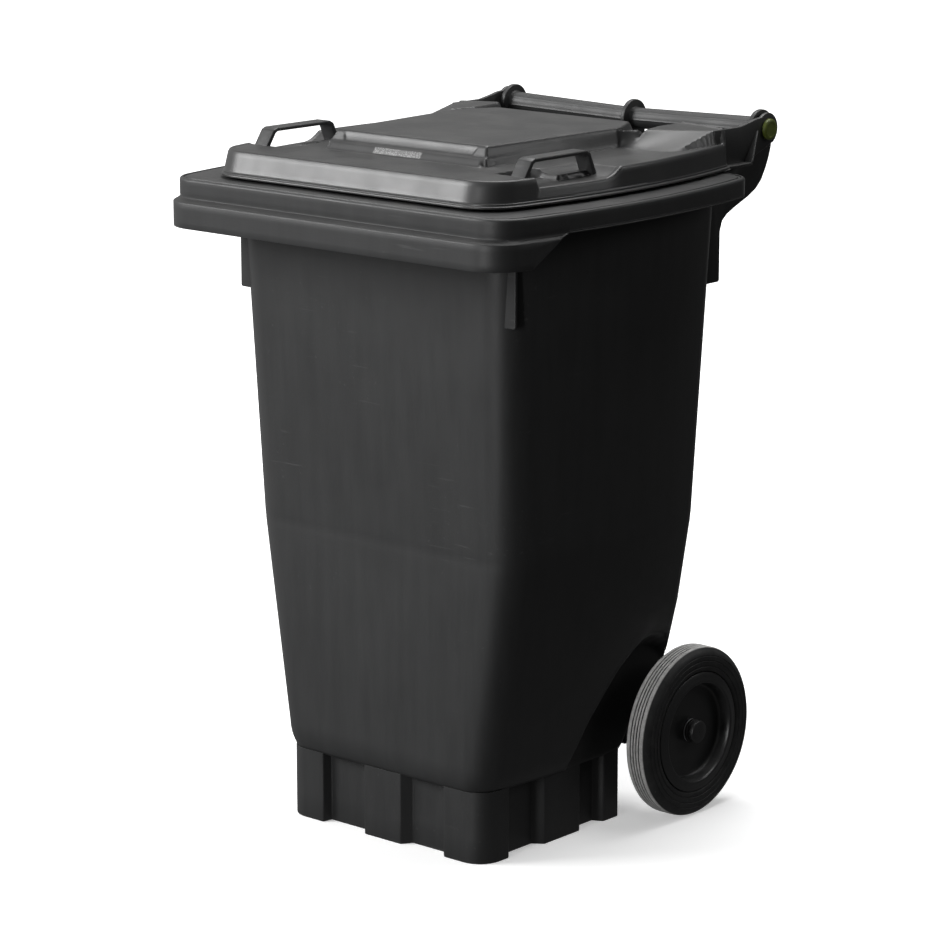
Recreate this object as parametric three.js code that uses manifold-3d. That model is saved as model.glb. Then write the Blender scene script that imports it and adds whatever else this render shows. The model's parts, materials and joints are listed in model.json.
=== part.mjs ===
// Two-wheeled waste bin, 80 litre class. Millimetres, +Z up, ground at z = 0.
// Front at -Y, handle and wheels at +Y, right-hand side at +X.
// Origin: centre of the whole object's footprint rectangle, on the ground.
// Pieces: one-piece body, one-piece lid on two hinge pins, two rubber-tyred wheels on a steel axle.
import * as THREE from "three";
import { mergeVertices } from "three/addons/utils/BufferGeometryUtils.js";
import Module from "manifold-3d";

const wasm = await Module();
wasm.setup();

// ---------- driving dimensions ----------
const SHIFT_Y = -52.54; // from the drawing origin (middle of the rim's depth) to the part's origin
const WALL = 4; // general wall of the body
const THIN_WALL = WALL - 0.4; // skirt, and lower edges of the rim band and lip
const LID_WALL = 3.4;
const GAP = 0.3; // running clearance

const HINGE = { y: 310.3, z: 786.5 }; // lid hinge and handle axis
const AXLE = { y: 170.3, z: 100, radius: 7 };
const PIN = { radius: 7, headRadius: 12.2, headThick: 4.6, innerX: 160 };
const EAR = { innerX: 192.6, outerX: 197.2, bossRadius: 19 }; // lid hinge ears

const CORNER_STEPS = 5; // segments round each corner of an outline
const BORE_SEGMENTS = 28;
const WHEEL_SEGMENTS = 44;
const FITTING_SEGMENTS = 24; // axle and the small parts on it

// ---------- materials ----------
const MATERIAL = {
  body: new THREE.MeshStandardMaterial({ color: 0x2c2d2e, roughness: 0.5, metalness: 0 }),
  lid: new THREE.MeshStandardMaterial({ color: 0x343536, roughness: 0.42, metalness: 0 }),
  green: new THREE.MeshStandardMaterial({ color: 0x5a6122, roughness: 0.45, metalness: 0 }),
  rim: new THREE.MeshStandardMaterial({ color: 0x262728, roughness: 0.45, metalness: 0 }),
  tyre: new THREE.MeshStandardMaterial({ color: 0x1d1e1f, roughness: 0.8, metalness: 0 }),
  steel: new THREE.MeshStandardMaterial({ color: 0xb6b9bb, roughness: 0.35, metalness: 0.9 }),
  cap: new THREE.MeshStandardMaterial({ color: 0x2a2b2c, roughness: 0.5, metalness: 0 }),
};

// ---------- solids ----------
function solid(geometry) {
  const flat = geometry.index ? geometry.toNonIndexed() : geometry;
  const bare = new THREE.BufferGeometry().setAttribute("position", flat.getAttribute("position"));
  const merged = mergeVertices(bare, 1e-3);
  return new wasm.Manifold(
    new wasm.Mesh({
      numProp: 3,
      vertProperties: merged.attributes.position.array,
      triVerts: new Uint32Array(merged.index.array),
    }),
  );
}
const join = (...solids) => solids.reduce((sum, next) => sum.add(next));
const mirrored = (shape) => shape.mirror([1, 0, 0]);
const bothSides = (shape) => join(shape, mirrored(shape));
const vectors = (points) => points.map(([x, y]) => new THREE.Vector2(x, y));

// Frames: where a profile's two axes and its length axis point.
const frame = (...axes) =>
  new THREE.Matrix4().makeBasis(...axes.map((axis) => new THREE.Vector3(...axis)));
const FRAME_X = frame([0, 1, 0], [0, 0, 1], [1, 0, 0]); // profile in (y, z), length to +X
const FRAME_LEFT = frame([0, 0, 1], [0, 1, 0], [-1, 0, 0]); // profile in (z, y), length to -X
const FRAME_Y = frame([1, 0, 0], [0, 0, 1], [0, -1, 0]); // profile in (x, z), length to -Y
const FRAME_Z = new THREE.Matrix4(); // profile in (x, y), length to +Z

function extrude(points, start, end, axes) {
  const shape = new THREE.Shape(vectors(points));
  const options = { depth: end - start, bevelEnabled: false, curveSegments: 1 };
  const geometry = new THREE.ExtrudeGeometry(shape, options);
  return solid(geometry.translate(0, 0, start).applyMatrix4(axes));
}
const alongX = (points, x0, x1) => extrude(points, x0, x1, FRAME_X);
const alongY = (points, y0, y1) => extrude(points, -y1, -y0, FRAME_Y);
const alongZ = (points, z0, z1) => extrude(points, z0, z1, FRAME_Z);

// Solid through stacked rings of [height, points], counter-clockwise, with equal point counts.
function loft(rings, axes = FRAME_Z) {
  const count = rings[0][1].length;
  const last = (rings.length - 1) * count;
  const positions = rings.flatMap(([height, points]) =>
    points.flatMap(([x, y]) => [x, y, height]));
  const indices = [];
  for (let start = 0; start < last; start += count)
    for (let i = 0; i < count; i++) {
      const here = start + i;
      const next = start + ((i + 1) % count);
      indices.push(here, next, next + count, here, next + count, here + count);
    }
  const capOf = ([, points]) => THREE.ShapeUtils.triangulateShape(vectors(points), []);
  for (const [i, j, k] of capOf(rings[0])) indices.push(i, k, j);
  for (const [i, j, k] of capOf(rings.at(-1))) indices.push(last + i, last + j, last + k);
  const geometry = new THREE.BufferGeometry();
  geometry.setAttribute("position", new THREE.Float32BufferAttribute(positions, 3));
  geometry.setIndex(indices);
  return solid(geometry.applyMatrix4(axes));
}

// Round shapes about an axis along X, the axis given by its y and z.
function rod(radius, x0, x1, { y, z }) {
  const geometry = new THREE.CylinderGeometry(radius, radius, x1 - x0, BORE_SEGMENTS);
  return solid(geometry.rotateZ(-Math.PI / 2).translate((x0 + x1) / 2, y, z));
}
// Profile of [radius, x], anticlockwise.
function turned(profile, { y, z }, segments) {
  const geometry = new THREE.LatheGeometry(vectors(profile), segments);
  return solid(geometry.rotateZ(-Math.PI / 2).translate(0, y, z));
}
// Turned shape with a hole: the profile is closed back to its first point.
const ring = (profile, segments) => turned([...profile, profile[0]], AXLE, segments);

// ---------- outlines ----------
function arc(centreX, centreY, radius, from, to, steps) {
  return Array.from({ length: steps + 1 }, (_, i) => {
    const angle = from + ((to - from) * i) / steps;
    return [centreX + radius * Math.cos(angle), centreY + radius * Math.sin(angle)];
  });
}
const hingeArc = (z, radius, from, to, steps) =>
  arc(HINGE.y, z, radius, THREE.MathUtils.degToRad(from), THREE.MathUtils.degToRad(to), steps);

// Right half of a plan, front to back, completed with its mirror image.
const symmetric = (half) =>
  half.concat(half.filter(([x]) => x > 0).reverse().map(([x, y]) => [-x, y]));

// Closed plan outline: straight front and back, sides bowed out towards their middle, round corners.
// A line is [corner half width, side bow, front depth, rear depth, front radius, rear radius].
function outline([cornerX, bow, front, rear, frontRadius, rearRadius], inset = 0) {
  const halfDepth = (front + rear) / 2 - inset;
  const middleY = (rear - front) / 2;
  const sideRadius = (halfDepth ** 2 + bow ** 2) / (2 * bow);
  const sideX = cornerX + bow - inset - sideRadius; // centre of the side's arc
  const corner = (radius, y) => {
    const reach = Math.sqrt((sideRadius - radius) ** 2 - (y - middleY) ** 2);
    return { x: sideX + reach, y, radius, angle: Math.atan2(y - middleY, reach) };
  };
  const a = corner(frontRadius - inset, frontRadius - front);
  const b = corner(rearRadius - inset, rear - rearRadius);
  return symmetric([
    ...arc(a.x, a.y, a.radius, -Math.PI / 2, a.angle, CORNER_STEPS),
    ...arc(sideX, middleY, sideRadius, a.angle, b.angle, CORNER_STEPS + 1).slice(1, -1),
    ...arc(b.x, b.y, b.radius, b.angle, Math.PI / 2, CORNER_STEPS),
  ]);
}
// Solid through rows of [z, line, inset].
const stack = (rows) => loft(rows.map(([z, line, inset]) => [z, outline(line, inset)]));

// ---------- tub ----------
const TUB = [ // height, line
  [112, [155.1, 11, 143, 191.8, 36, 30]],
  [352, [190.4, 16, 143, 196.8, 40, 30]],
  [690, [200.0, 22, 156.7, 213.0, 40, 30]],
  [744, [201.6, 23, 159.2, 215.4, 40, 30]],
];
const UNDER = 80; // lower end of the tub's bottom radius
const TURN = { top: 112, inset: 12 }; // bottom radius: upper end and greatest inset
const TUB_LEVELS = [80.5, 82.5, 86, 92, 101, TURN.top, 352, 690, 743.6];
const FLOOR = 88; // top of the tub's floor
const HOLLOW_LEVELS = [ // height, inset beyond the wall
  [FLOOR, 15], [FLOOR + 4, 8], [FLOOR + 14, 2], [FLOOR + 28, 0], [352, 0], [690, 0], [760, 0],
];

// Tub line at a height; the end spans run on below and above the table.
function tubLine(z) {
  let k = 0;
  while (k < TUB.length - 2 && z > TUB[k + 1][0]) k++;
  const [lowZ, lowLine] = TUB[k];
  const [highZ, highLine] = TUB[k + 1];
  const share = (z - lowZ) / (highZ - lowZ);
  return lowLine.map((value, i) => value + (highLine[i] - value) * share);
}
function turnInset(z) {
  if (z >= TURN.top) return 0;
  return TURN.inset * (1 - Math.sqrt(1 - ((TURN.top - z) / (TURN.top - UNDER)) ** 2));
}
const makeTubOuter = () => stack(TUB_LEVELS.map((z) => [z, tubLine(z), turnInset(z)]));

// Space inside the tub, leaving a wall round the axle channel and the wheel arches.
function makeTubHollow() {
  const inside = stack(HOLLOW_LEVELS.map(([z, extra]) => [z, tubLine(z), WALL + extra]));
  return inside.subtract(makeChannel(WALL)).subtract(makeArches(WALL));
}

// Channel across the underside of the tub's rear for the axle.
const CHANNEL = { bottom: 60, top: 124, frontY: 104, topY: 136, rearY: 230, halfLength: 210 };
function makeChannel(grow) {
  const { bottom, top, frontY, topY, rearY, halfLength } = CHANNEL;
  const profile = [
    [frontY - grow, bottom], [frontY - grow, UNDER], [topY - grow, top + grow],
    [rearY, top + grow], [rearY, bottom],
  ];
  return alongX(profile, -halfLength - grow, halfLength + grow);
}

// Wheel arches: shallow scoops in the lower rear of each side, drafted wider at the outside.
const ARCH = { innerX: 152, outerX: 216, innerGrow: -9, outerGrow: 15 };
const ARCH_PROFILE = [ // y, z, and how far each moves per millimetre of growth
  [-4, 70, -1, 0], [-2, 100, -1, 0], [25, 139, -1, 1], [44, 160, -0.8, 0.8],
  [71, 187, -0.7, 0.8], [92, 203, -0.5, 0.9], [112, 214, -0.2, 1], [136, 218, 0, 1],
  [158, 213, 0.4, 0.9], [178, 202, 0.7, 0.7], [198, 178, 1, 0], [212, 140, 1, 0], [214, 70, 1, 0],
];
function makeArches(grow) {
  const profile = (amount) =>
    ARCH_PROFILE.map(([y, z, moveY, moveZ]) => [z + moveZ * amount, y + moveY * amount]);
  const rings = [
    [ARCH.innerX - grow, profile(ARCH.innerGrow + grow)],
    [ARCH.outerX, profile(ARCH.outerGrow + grow)],
  ];
  return bothSides(loft(rings, FRAME_LEFT));
}

// ---------- rim: flat deck with a turned-down band, and a deeper lip round the front ----------
const RIM = { top: 747.4, bottom: 725.2, line: [244.7, 23.9, 218, 218, 42, 34] };
const LIP = { top: 726.4, edge: 721.4, bottom: 692.4, line: [246.8, 23.9, 227.2, 218, 43, 34] };
const LIP_CUT = [[-166.5, 690], [-121.5, 728]]; // slanted end of the lip on the side, (y, z)

function makeRim() {
  const band = stack([
    [RIM.bottom, RIM.line], [RIM.top - 3, RIM.line], [RIM.top, RIM.line, 2.2],
  ]);
  const bandHollow = stack([
    [RIM.bottom - 6, RIM.line, THIN_WALL], [RIM.top - WALL, RIM.line, WALL],
  ]);
  const lip = stack([[LIP.bottom, LIP.line], [LIP.edge, LIP.line], [LIP.top, LIP.line, 4]]);
  const lipHollow = stack([
    [LIP.bottom - 5, LIP.line, THIN_WALL], [LIP.edge - 2, LIP.line, WALL],
  ]);
  // Keeps the lip's top out of the space inside the band.
  const bandClearance = stack([[LIP.edge - 2.2, RIM.line, 8], [RIM.top - 4.2, RIM.line, 8]]);
  const frontProfile = [
    [-240, 680], [LIP_CUT[0][0] - 2, 680], ...LIP_CUT, [LIP_CUT[1][0], 735], [-240, 735],
  ];
  const frontOnly = alongX(frontProfile, -300, 300);
  const frontLip = lip.subtract(lipHollow).subtract(bandClearance).intersect(frontOnly);
  return join(band.subtract(bandHollow), frontLip);
}

// ---------- base skirt: corrugated wall standing on the ground ----------
const SKIRT = {
  halfWidth: 151.2, front: 137.1, rear: 128, cornerRadius: 29, recess: 12.5, top: 92, ceiling: 84,
};
function skirtOutline(inset) {
  const side = SKIRT.halfWidth - inset;
  const front = inset - SKIRT.front;
  const rear = SKIRT.rear - inset;
  const radius = SKIRT.cornerRadius - inset;
  const sideIn = side - SKIRT.recess;
  const frontIn = front + SKIRT.recess;
  const slant = inset * 0.6; // shift of the recesses' sloping ends
  return symmetric([
    [0, front], [28 - slant, front], [36.5 - slant, frontIn],
    [91 + inset, frontIn], [91.5 + inset, front],
    ...arc(side - radius, front + radius, radius, -Math.PI / 2, 0, 4),
    [side, -91 - inset], [sideIn, -90.5 - inset], [sideIn, -38 + slant], [side, -29 + slant],
    [side, 34 - inset], [sideIn, 35 - inset], [sideIn, 71 + slant], [side, 77 + slant],
    [side, 103 - inset * 0.4], [side - 24, rear],
    [60, rear], [52, rear - SKIRT.recess], [0, rear - SKIRT.recess],
  ]);
}
function makeSkirt() {
  const outer = alongZ(skirtOutline(0), 0, SKIRT.top);
  const inner = alongZ(skirtOutline(THIN_WALL), -5, SKIRT.ceiling);
  return outer.subtract(inner).subtract(makeChannel(0));
}

// ---------- ribs under the rim's front corners ----------
const CORNER_RIB = { y: -144.3, thick: 3.6, innerX: 165, outerX: 204.6, bottom: 618, bevel: 3 };
function makeCornerRibs() {
  const { y, thick, innerX, outerX, bottom, bevel } = CORNER_RIB;
  const top = RIM.top - 2;
  const profile = [
    [innerX, bottom], [outerX - bevel, bottom], [outerX, bottom + bevel], [outerX, top],
    [innerX, top],
  ];
  return bothSides(alongY(profile, y - thick / 2, y + thick / 2));
}

// ---------- handle: three rear arms with rings, and the bar between them ----------
const ARM = { x: 185.8, thick: 6, ringRadius: 22, sag: 3.2 }; // sag: drop of the middle arm's ring
const BAR = { middleRadius: 12.4, endRadius: 13.4, segments: 28 };

function makeArm(x, drop) {
  const profile = [ // (y, z)
    [205, 618], [233.4, 618], [233.4, 676], [237.5, 688], [247, 695], [262, 701.5],
    [286, 710.5], [301, 718], [311, 727], [319, 740], [325, 753], [328.5, 764],
    ...hingeArc(HINGE.z - drop, ARM.ringRadius, -30, 190, 16),
    [285, 770 - drop], [272, 758], [250, 745.5], [214, 745.5], [205, 700],
  ];
  return alongX(profile, x - ARM.thick / 2, x + ARM.thick / 2);
}
function makeHalfBar() {
  const circle = (z, radius) =>
    arc(HINGE.y, z, radius, 0, 2 * Math.PI, BAR.segments).slice(0, -1);
  const rings = [
    [0, circle(HINGE.z - ARM.sag, BAR.middleRadius)],
    [ARM.x, circle(HINGE.z, BAR.endRadius)],
  ];
  return loft(rings, FRAME_X);
}
const makeHandle = () =>
  join(bothSides(makeHalfBar()), makeArm(0, ARM.sag), bothSides(makeArm(ARM.x, 0)));

// ---------- axle bearers under the channel ----------
const BEARER_PROFILE = [[128, 78], [184, 78], [190, 84], [190, 128], [128, 128]]; // (y, z)
const BEARER_OUTER_X = 142; // outer face of the outer pair
const makeBearers = () =>
  join(
    bothSides(alongX(BEARER_PROFILE, 132, BEARER_OUTER_X)),
    bothSides(alongX(BEARER_PROFILE, 44, 52)),
  );

// Bores for the hinge pins, right and left.
const pinBores = (x0, x1) => bothSides(rod(PIN.radius + GAP, x0, x1, HINGE));

function makeBody() {
  const tub = makeTubOuter().subtract(makeChannel(0));
  return join(tub, makeRim(), makeSkirt(), makeCornerRibs(), makeHandle(), makeBearers())
    .subtract(makeArches(0))
    .subtract(makeTubHollow())
    .subtract(rod(AXLE.radius + GAP, -200, 200, AXLE))
    .subtract(pinBores(150, 200));
}

// ---------- lid ----------
const LID = {
  bottom: 750.4, flange: 753.4, top: 779.6, // flange: top of the edge flange
  low: [203.8, 25.8, 190.9, 231, 48, 16], // lines at the bottom and the top
  high: [201.2, 25.8, 183.5, 229, 44, 14],
};
const PANEL = [ // height and right-hand outline corners, front to back
  [774, [[121, -100], [128, 124], [129, 140], [108, 184], [104, 192]]],
  [786.5, [[117.5, -93], [127, 124], [127, 138], [106, 180], [102, 186]]],
  [788.5, [[115, -90.5], [126, 123], [126, 137], [105, 178], [101, 184]]],
  [798.8, [[111, -84], [124.5, 122], [124.5, 134], [103, 174], [98, 180]]],
  [800.1, [[108.5, -81], [122.5, 121], [122.5, 132], [101, 172], [96, 177.5]]],
];
const DECK = 794.6; // top of the rear wings
const TAIL = { frontY: 226, rearY: 268, width: 10.5 }; // flange outside each ear
const ROOT_X = EAR.outerX - 1; // parts on the ear's outer face start inside it

const makeTray = () =>
  stack([
    [LID.bottom, LID.low, -2.4], [LID.flange, LID.low, -2.2], [LID.flange + 1, LID.low],
    [LID.top - 3, LID.high], [LID.top, LID.high, 2.6],
  ]);
const makeTrayHollow = () =>
  stack([
    [LID.bottom - 4, LID.low, LID_WALL - 1.4], [LID.flange, LID.low, LID_WALL],
    [LID.top - LID_WALL, LID.high, LID_WALL],
  ]);

// Raised middle panel.
const makePanel = () => loft(PANEL.map(([z, half]) => [z, symmetric(half)]));
function makePanelHollow() {
  const wall = 4;
  const insetY = (y) => {
    if (y < 0) return y + wall;
    return y > 150 ? y - wall : y;
  };
  return loft(PANEL.slice(0, 4).map(([z, half], row) => [
    z - LID_WALL - (row < 3 ? 3 : 0),
    symmetric(half.map(([x, y]) => [x - wall, insetY(y)])),
  ]));
}

// Rear wings: raised decks that flare from the panel's corners out to the hinge ears.
const WING = [ // (x, y)
  [122, 122], [131, 126], [EAR.outerX, 211], [EAR.outerX, 231], [136, 231], [118, 196],
  [121, 150],
];
const WING_HOLLOW = [ // (x, y)
  [126, 130], [190, 211], [190, 227.5], [138, 227.5], [122, 195], [124.5, 150],
];
const makeWings = () => bothSides(alongZ(WING, LID.top - 4, DECK));
const makeWingHollows = () => bothSides(alongZ(WING_HOLLOW, LID.top - 10, DECK - LID_WALL));

function makeFlangeTails() {
  const profile = [
    [TAIL.frontY, LID.bottom], [TAIL.rearY, LID.bottom],
    [TAIL.rearY, LID.flange], [TAIL.frontY, LID.flange],
  ];
  return bothSides(alongX(profile, ROOT_X, EAR.outerX + TAIL.width));
}
function makeEars() {
  const profile = [ // (y, z)
    [211, LID.bottom], [268, LID.bottom], [276, 754], [312, 767.6],
    ...hingeArc(HINGE.z, EAR.bossRadius, -55, 128, 12),
    [289, 800.6], [274, 797.5], [257, DECK], [211, DECK],
  ];
  return bothSides(alongX(profile, EAR.innerX, EAR.outerX));
}

// Thin web on the ear's outer face, widening down to the flange.
function makeGussets() {
  const profile = [ // (x, z)
    [ROOT_X, LID.bottom], [EAR.outerX + TAIL.width, LID.bottom], [EAR.outerX + 10, 755],
    [EAR.outerX + 0.4, 787], [ROOT_X, 787],
  ];
  const [lowY, highY, highZ] = [264, 288, 786];
  const slope = (highY - lowY) / (highZ - LID.bottom);
  // Shear the web so that it follows the ear's rear edge upwards.
  const web = alongY(profile, lowY, lowY + 3.4).warp((point) => {
    point[1] += (point[2] - LID.bottom) * slope;
  });
  return bothSides(web);
}

// Finger loops on the sides and the recesses below them, profiles in (y, z).
const RECESS = [[-120, 767.5], [-117, 790], [4, 790], [4, 777], [-6, 770], [-22, 767.5]];
const RECESS_WALLED = [
  [-123.6, 764.1], [-120.6, 790], [7.6, 790], [7.6, 776], [-4, 766.6], [-21, 764.1],
];
const LOOP_OUTER = [
  [-128, 777], [-114.5, 794.6], [-109, 797], [-22, 797], [-16, 794], [-4, 776.5],
];
const LOOP_INNER = [
  [-121.8, 776.9], [-110.8, 791.4], [-107.6, 792.8], [-23.6, 792.8], [-20, 790.8],
  [-10.6, 776.4],
];
const makeRecesses = (profile, innerX) => bothSides(alongX(profile, innerX, 240));
const makeLoops = () =>
  bothSides(alongX(LOOP_OUTER, 180, 200).subtract(alongX(LOOP_INNER, 170, 210)));

function makeLid() {
  const tray = makeTray().subtract(makeRecesses(RECESS, 152));
  const trayHollow = makeTrayHollow().subtract(makeRecesses(RECESS_WALLED, 152 - LID_WALL));
  const shell = join(tray, makePanel(), makeWings(), makeFlangeTails())
    .subtract(trayHollow)
    .subtract(makePanelHollow())
    .subtract(makeWingHollows());
  return join(shell, makeEars(), makeGussets(), makeLoops()).subtract(pinBores(188, 205));
}

// ---------- hinge pin (this and the wheel parts are right-hand, mirrored for the left) ----------
function makePin() {
  const { radius, headRadius, headThick, innerX } = PIN;
  const headX = EAR.outerX + 0.35;
  const profile = [
    [0, innerX], [radius - 2, innerX], [radius, innerX + 3], [radius, headX],
    [headRadius, headX], [headRadius, headX + 3], [headRadius - 1.6, headX + headThick],
    [0, headX + headThick],
  ];
  return turned(profile, HINGE, BORE_SEGMENTS);
}

// ---------- wheels and axle ----------
const WHEEL = {
  radius: 100, outerX: 217.3, width: 34, rimRadius: 70, dishRadius: 56, dish: 13.5, hubRadius: 17,
};
const BORE = AXLE.radius + GAP; // bore of everything on the axle
const HUB_X = 160.4; // inner end of the wheel's hub
const INNER_X = WHEEL.outerX - WHEEL.width; // inner face of the tyre
const DISH_X = WHEEL.outerX - WHEEL.dish; // bottom of the dish in the wheel's outer face
const WASHER = { x: DISH_X + GAP, radius: 13.5, thick: 1.6 };
const CAP_X = WASHER.x + WASHER.thick + GAP;
const AXLE_END = CAP_X + 6.4;

function makeWheelRim() {
  const { outerX, rimRadius, dishRadius, hubRadius } = WHEEL;
  const profile = [
    [BORE, HUB_X], [hubRadius, HUB_X], [hubRadius + 1, DISH_X - 6], [52, DISH_X - 6],
    [55, INNER_X + 4], [rimRadius + 2, INNER_X + 4], [rimRadius + 2, INNER_X + 9],
    [rimRadius - 3, INNER_X + 12], [rimRadius - 3, outerX - 9], [rimRadius + 1, outerX - 6],
    [rimRadius + 1, outerX - 1.6], [rimRadius - 4, outerX - 1.2], [61, outerX - 2.4],
    [dishRadius + 1.4, DISH_X + 1.6], [dishRadius, DISH_X], [BORE, DISH_X],
  ];
  return ring(profile, WHEEL_SEGMENTS);
}
function makeTyre() {
  const { radius, outerX } = WHEEL;
  const seat = WHEEL.rimRadius + GAP;
  const profile = [
    [seat + 2, INNER_X + 4], [84, INNER_X], [94.5, INNER_X + 1.8], [98.4, INNER_X + 4],
    [radius, INNER_X + 9], [radius, outerX - 9],
    [98.4, outerX - 4], [94.5, outerX - 1.8], [84, outerX], [seat + 3, outerX - 0.8],
    [seat + 1, outerX - 1.2], [seat + 1, outerX - 6 - GAP], [seat - 3, outerX - 9 - GAP],
    [seat - 3, INNER_X + 12 + GAP], [seat + 2, INNER_X + 9 + GAP],
  ];
  return ring(profile, WHEEL_SEGMENTS);
}
const makeSleeve = (radius, x0, x1) =>
  ring([[BORE, x0], [radius, x0], [radius, x1], [BORE, x1]], FITTING_SEGMENTS);
const makeWasher = () => makeSleeve(WASHER.radius, WASHER.x, WASHER.x + WASHER.thick);
const makeSpacer = () => makeSleeve(11.5, BEARER_OUTER_X + 0.4, HUB_X - 0.4);
function makeAxleCap() {
  const profile = [
    [BORE, CAP_X], [12.4, CAP_X], [12.4, CAP_X + 2.6], [11.2, CAP_X + 2.8],
    [11.2, CAP_X + 3.8], [13.3, CAP_X + 4], [13.3, CAP_X + 10.2], [11.8, CAP_X + 11.4],
    [0, CAP_X + 11.6], [0, AXLE_END + GAP], [BORE, AXLE_END + GAP],
  ];
  return ring(profile, FITTING_SEGMENTS);
}
function makeAxle() {
  const { radius } = AXLE;
  const profile = [
    [0, -AXLE_END], [radius - 1, -AXLE_END], [radius, -AXLE_END + 1],
    [radius, AXLE_END - 1], [radius - 1, AXLE_END], [0, AXLE_END],
  ];
  return turned(profile, AXLE, FITTING_SEGMENTS);
}

// ---------- assembly ----------
const root = new THREE.Group();
root.name = "wheelie_bin";
const drawing = new THREE.Group();
drawing.position.y = SHIFT_Y;
root.add(drawing);

function place(name, shape, material) {
  const { vertProperties, triVerts } = shape.getMesh();
  const geometry = new THREE.BufferGeometry();
  geometry.setAttribute("position", new THREE.Float32BufferAttribute(vertProperties, 3));
  geometry.setIndex(new THREE.Uint32BufferAttribute(triVerts, 1));
  geometry.computeVertexNormals();
  const mesh = new THREE.Mesh(geometry, material);
  mesh.name = name;
  drawing.add(mesh);
}
function placePair(name, shape, material) {
  place(name + "_right", shape, material);
  place(name + "_left", mirrored(shape), material);
}
place("bin_body", makeBody(), MATERIAL.body);
place("lid", makeLid(), MATERIAL.lid);
place("axle", makeAxle(), MATERIAL.steel);
placePair("hinge_pin", makePin(), MATERIAL.green);
placePair("wheel_rim", makeWheelRim(), MATERIAL.rim);
placePair("tyre", makeTyre(), MATERIAL.tyre);
placePair("washer", makeWasher(), MATERIAL.steel);
placePair("axle_cap", makeAxleCap(), MATERIAL.cap);
placePair("spacer", makeSpacer(), MATERIAL.cap);

export default root;
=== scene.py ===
# A two-wheeled bin with a hinged lid, standing on z = 0.
# X runs across it (right is +X), the front faces -Y, the hinge and the axle lie at +Y.
# Shapes are drawn in millimetres, with y = 0 at the middle of the rim's depth. Build.mesh
# moves them by SHIFT_Y to the frame's origin and turns them into metres.
import json
import math
from functools import cached_property

import bpy
import bmesh
import numpy as np
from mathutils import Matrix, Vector


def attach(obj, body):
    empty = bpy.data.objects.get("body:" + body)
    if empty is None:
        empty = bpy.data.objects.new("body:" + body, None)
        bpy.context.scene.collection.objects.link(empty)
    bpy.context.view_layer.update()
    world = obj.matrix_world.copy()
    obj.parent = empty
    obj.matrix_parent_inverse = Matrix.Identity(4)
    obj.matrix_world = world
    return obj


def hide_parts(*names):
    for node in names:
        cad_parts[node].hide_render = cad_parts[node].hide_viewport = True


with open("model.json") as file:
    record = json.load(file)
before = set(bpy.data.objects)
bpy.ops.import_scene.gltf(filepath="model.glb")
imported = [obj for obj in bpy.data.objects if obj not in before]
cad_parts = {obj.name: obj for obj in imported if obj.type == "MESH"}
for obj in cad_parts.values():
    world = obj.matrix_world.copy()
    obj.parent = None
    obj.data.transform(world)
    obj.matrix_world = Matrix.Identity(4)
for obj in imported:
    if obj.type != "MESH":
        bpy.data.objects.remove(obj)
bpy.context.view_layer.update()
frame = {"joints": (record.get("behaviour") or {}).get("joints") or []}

scene = bpy.context.scene

# ---------------------------------------------------------------- shared sizes
JOINT_MM = {j["name"]: [value * 1000 for value in j["pos_m"]] for j in frame["joints"]}
HINGE_Y, HINGE_Z = 310.3, JOINT_MM["lid_hinge"][2]
SHIFT_Y = JOINT_MM["lid_hinge"][1] - HINGE_Y
AXLE_FRAME_Y, AXLE_Z = JOINT_MM["axle_spin"][1:]
AXLE_Y = AXLE_FRAME_Y - SHIFT_Y
HINGE, AXLE = (HINGE_Y, HINGE_Z), (AXLE_Y, AXLE_Z)

WALL, LID_WALL = 4.0, 3.4

# Plan of a rounded box with bowed sides: half width at the corners, bow of a side,
# front depth, back depth, front corner radius, back corner radius
RIM = [244.7, 23.9, 218, 218, 42, 34]
LIP = [246.8, 23.9, 227.2, 218, 43, 34]
# height, then the tub's plan at that height
TUB = [
    (80, 152.9, 10.8, 143, 191.2, 36, 30),
    (112, 155.1, 11, 143, 191.8, 36, 30),
    (352, 190.4, 16, 143, 196.8, 40, 30),
    (690, 200.0, 22, 156.7, 213.0, 40, 30),
    (748, 201.6, 23, 159.2, 215.4, 40, 30),
]
TUB_BOTTOM, BOTTOM_ROUND = 80, 32
FLOOR, FLOOR_ROUND = 88, 28
ARCH_ZONE_TOP = 250         # the wheel arches are scooped below this height

ARM_X, ARM_THICK = 185.8, 6.0
BAR_RADIUS, BAR_SAG = 13.0, 3.2
EAR_IN, EAR_OUT, EAR_RADIUS = 192.6, 197.2, 19.0
LID_BOTTOM = 750.4

WHEEL_OUT, WHEEL_WIDTH = 217.3, 34
WHEEL_IN = WHEEL_OUT - WHEEL_WIDTH
TREAD_RADIUS = 100
DISC_X = WHEEL_OUT - 13.5   # outer face of the wheel disc
HUB_IN = 160.4              # inner end of the hub
BORE, AXLE_RADIUS = 7.3, 7


# ---------------------------------------------------------------- number helpers
def smooth_min(a, b, blend):
    h = np.clip(0.5 + 0.5 * (b - a) / blend, 0, 1)
    return b + (a - b) * h - blend * h * (1 - h)


def smooth_step(start, end, value):
    t = np.clip((value - start) / (end - start), 0, 1)
    return t * t * (3 - 2 * t)


def quarter_turn(count):
    return np.linspace(0, math.pi / 2, count)


def spaced(low, high, density, count):
    """Values inside (low, high), closer where density, [(position, weight), ...], is high."""
    grid = np.linspace(low, high, 2000)
    weight = np.interp(grid, *zip(*density))
    total = np.concatenate([[0], np.cumsum((weight[1:] + weight[:-1]) / 2)])
    total /= total[-1]
    return np.interp(np.linspace(0, 1, count + 2)[1:-1], total, grid)


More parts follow.
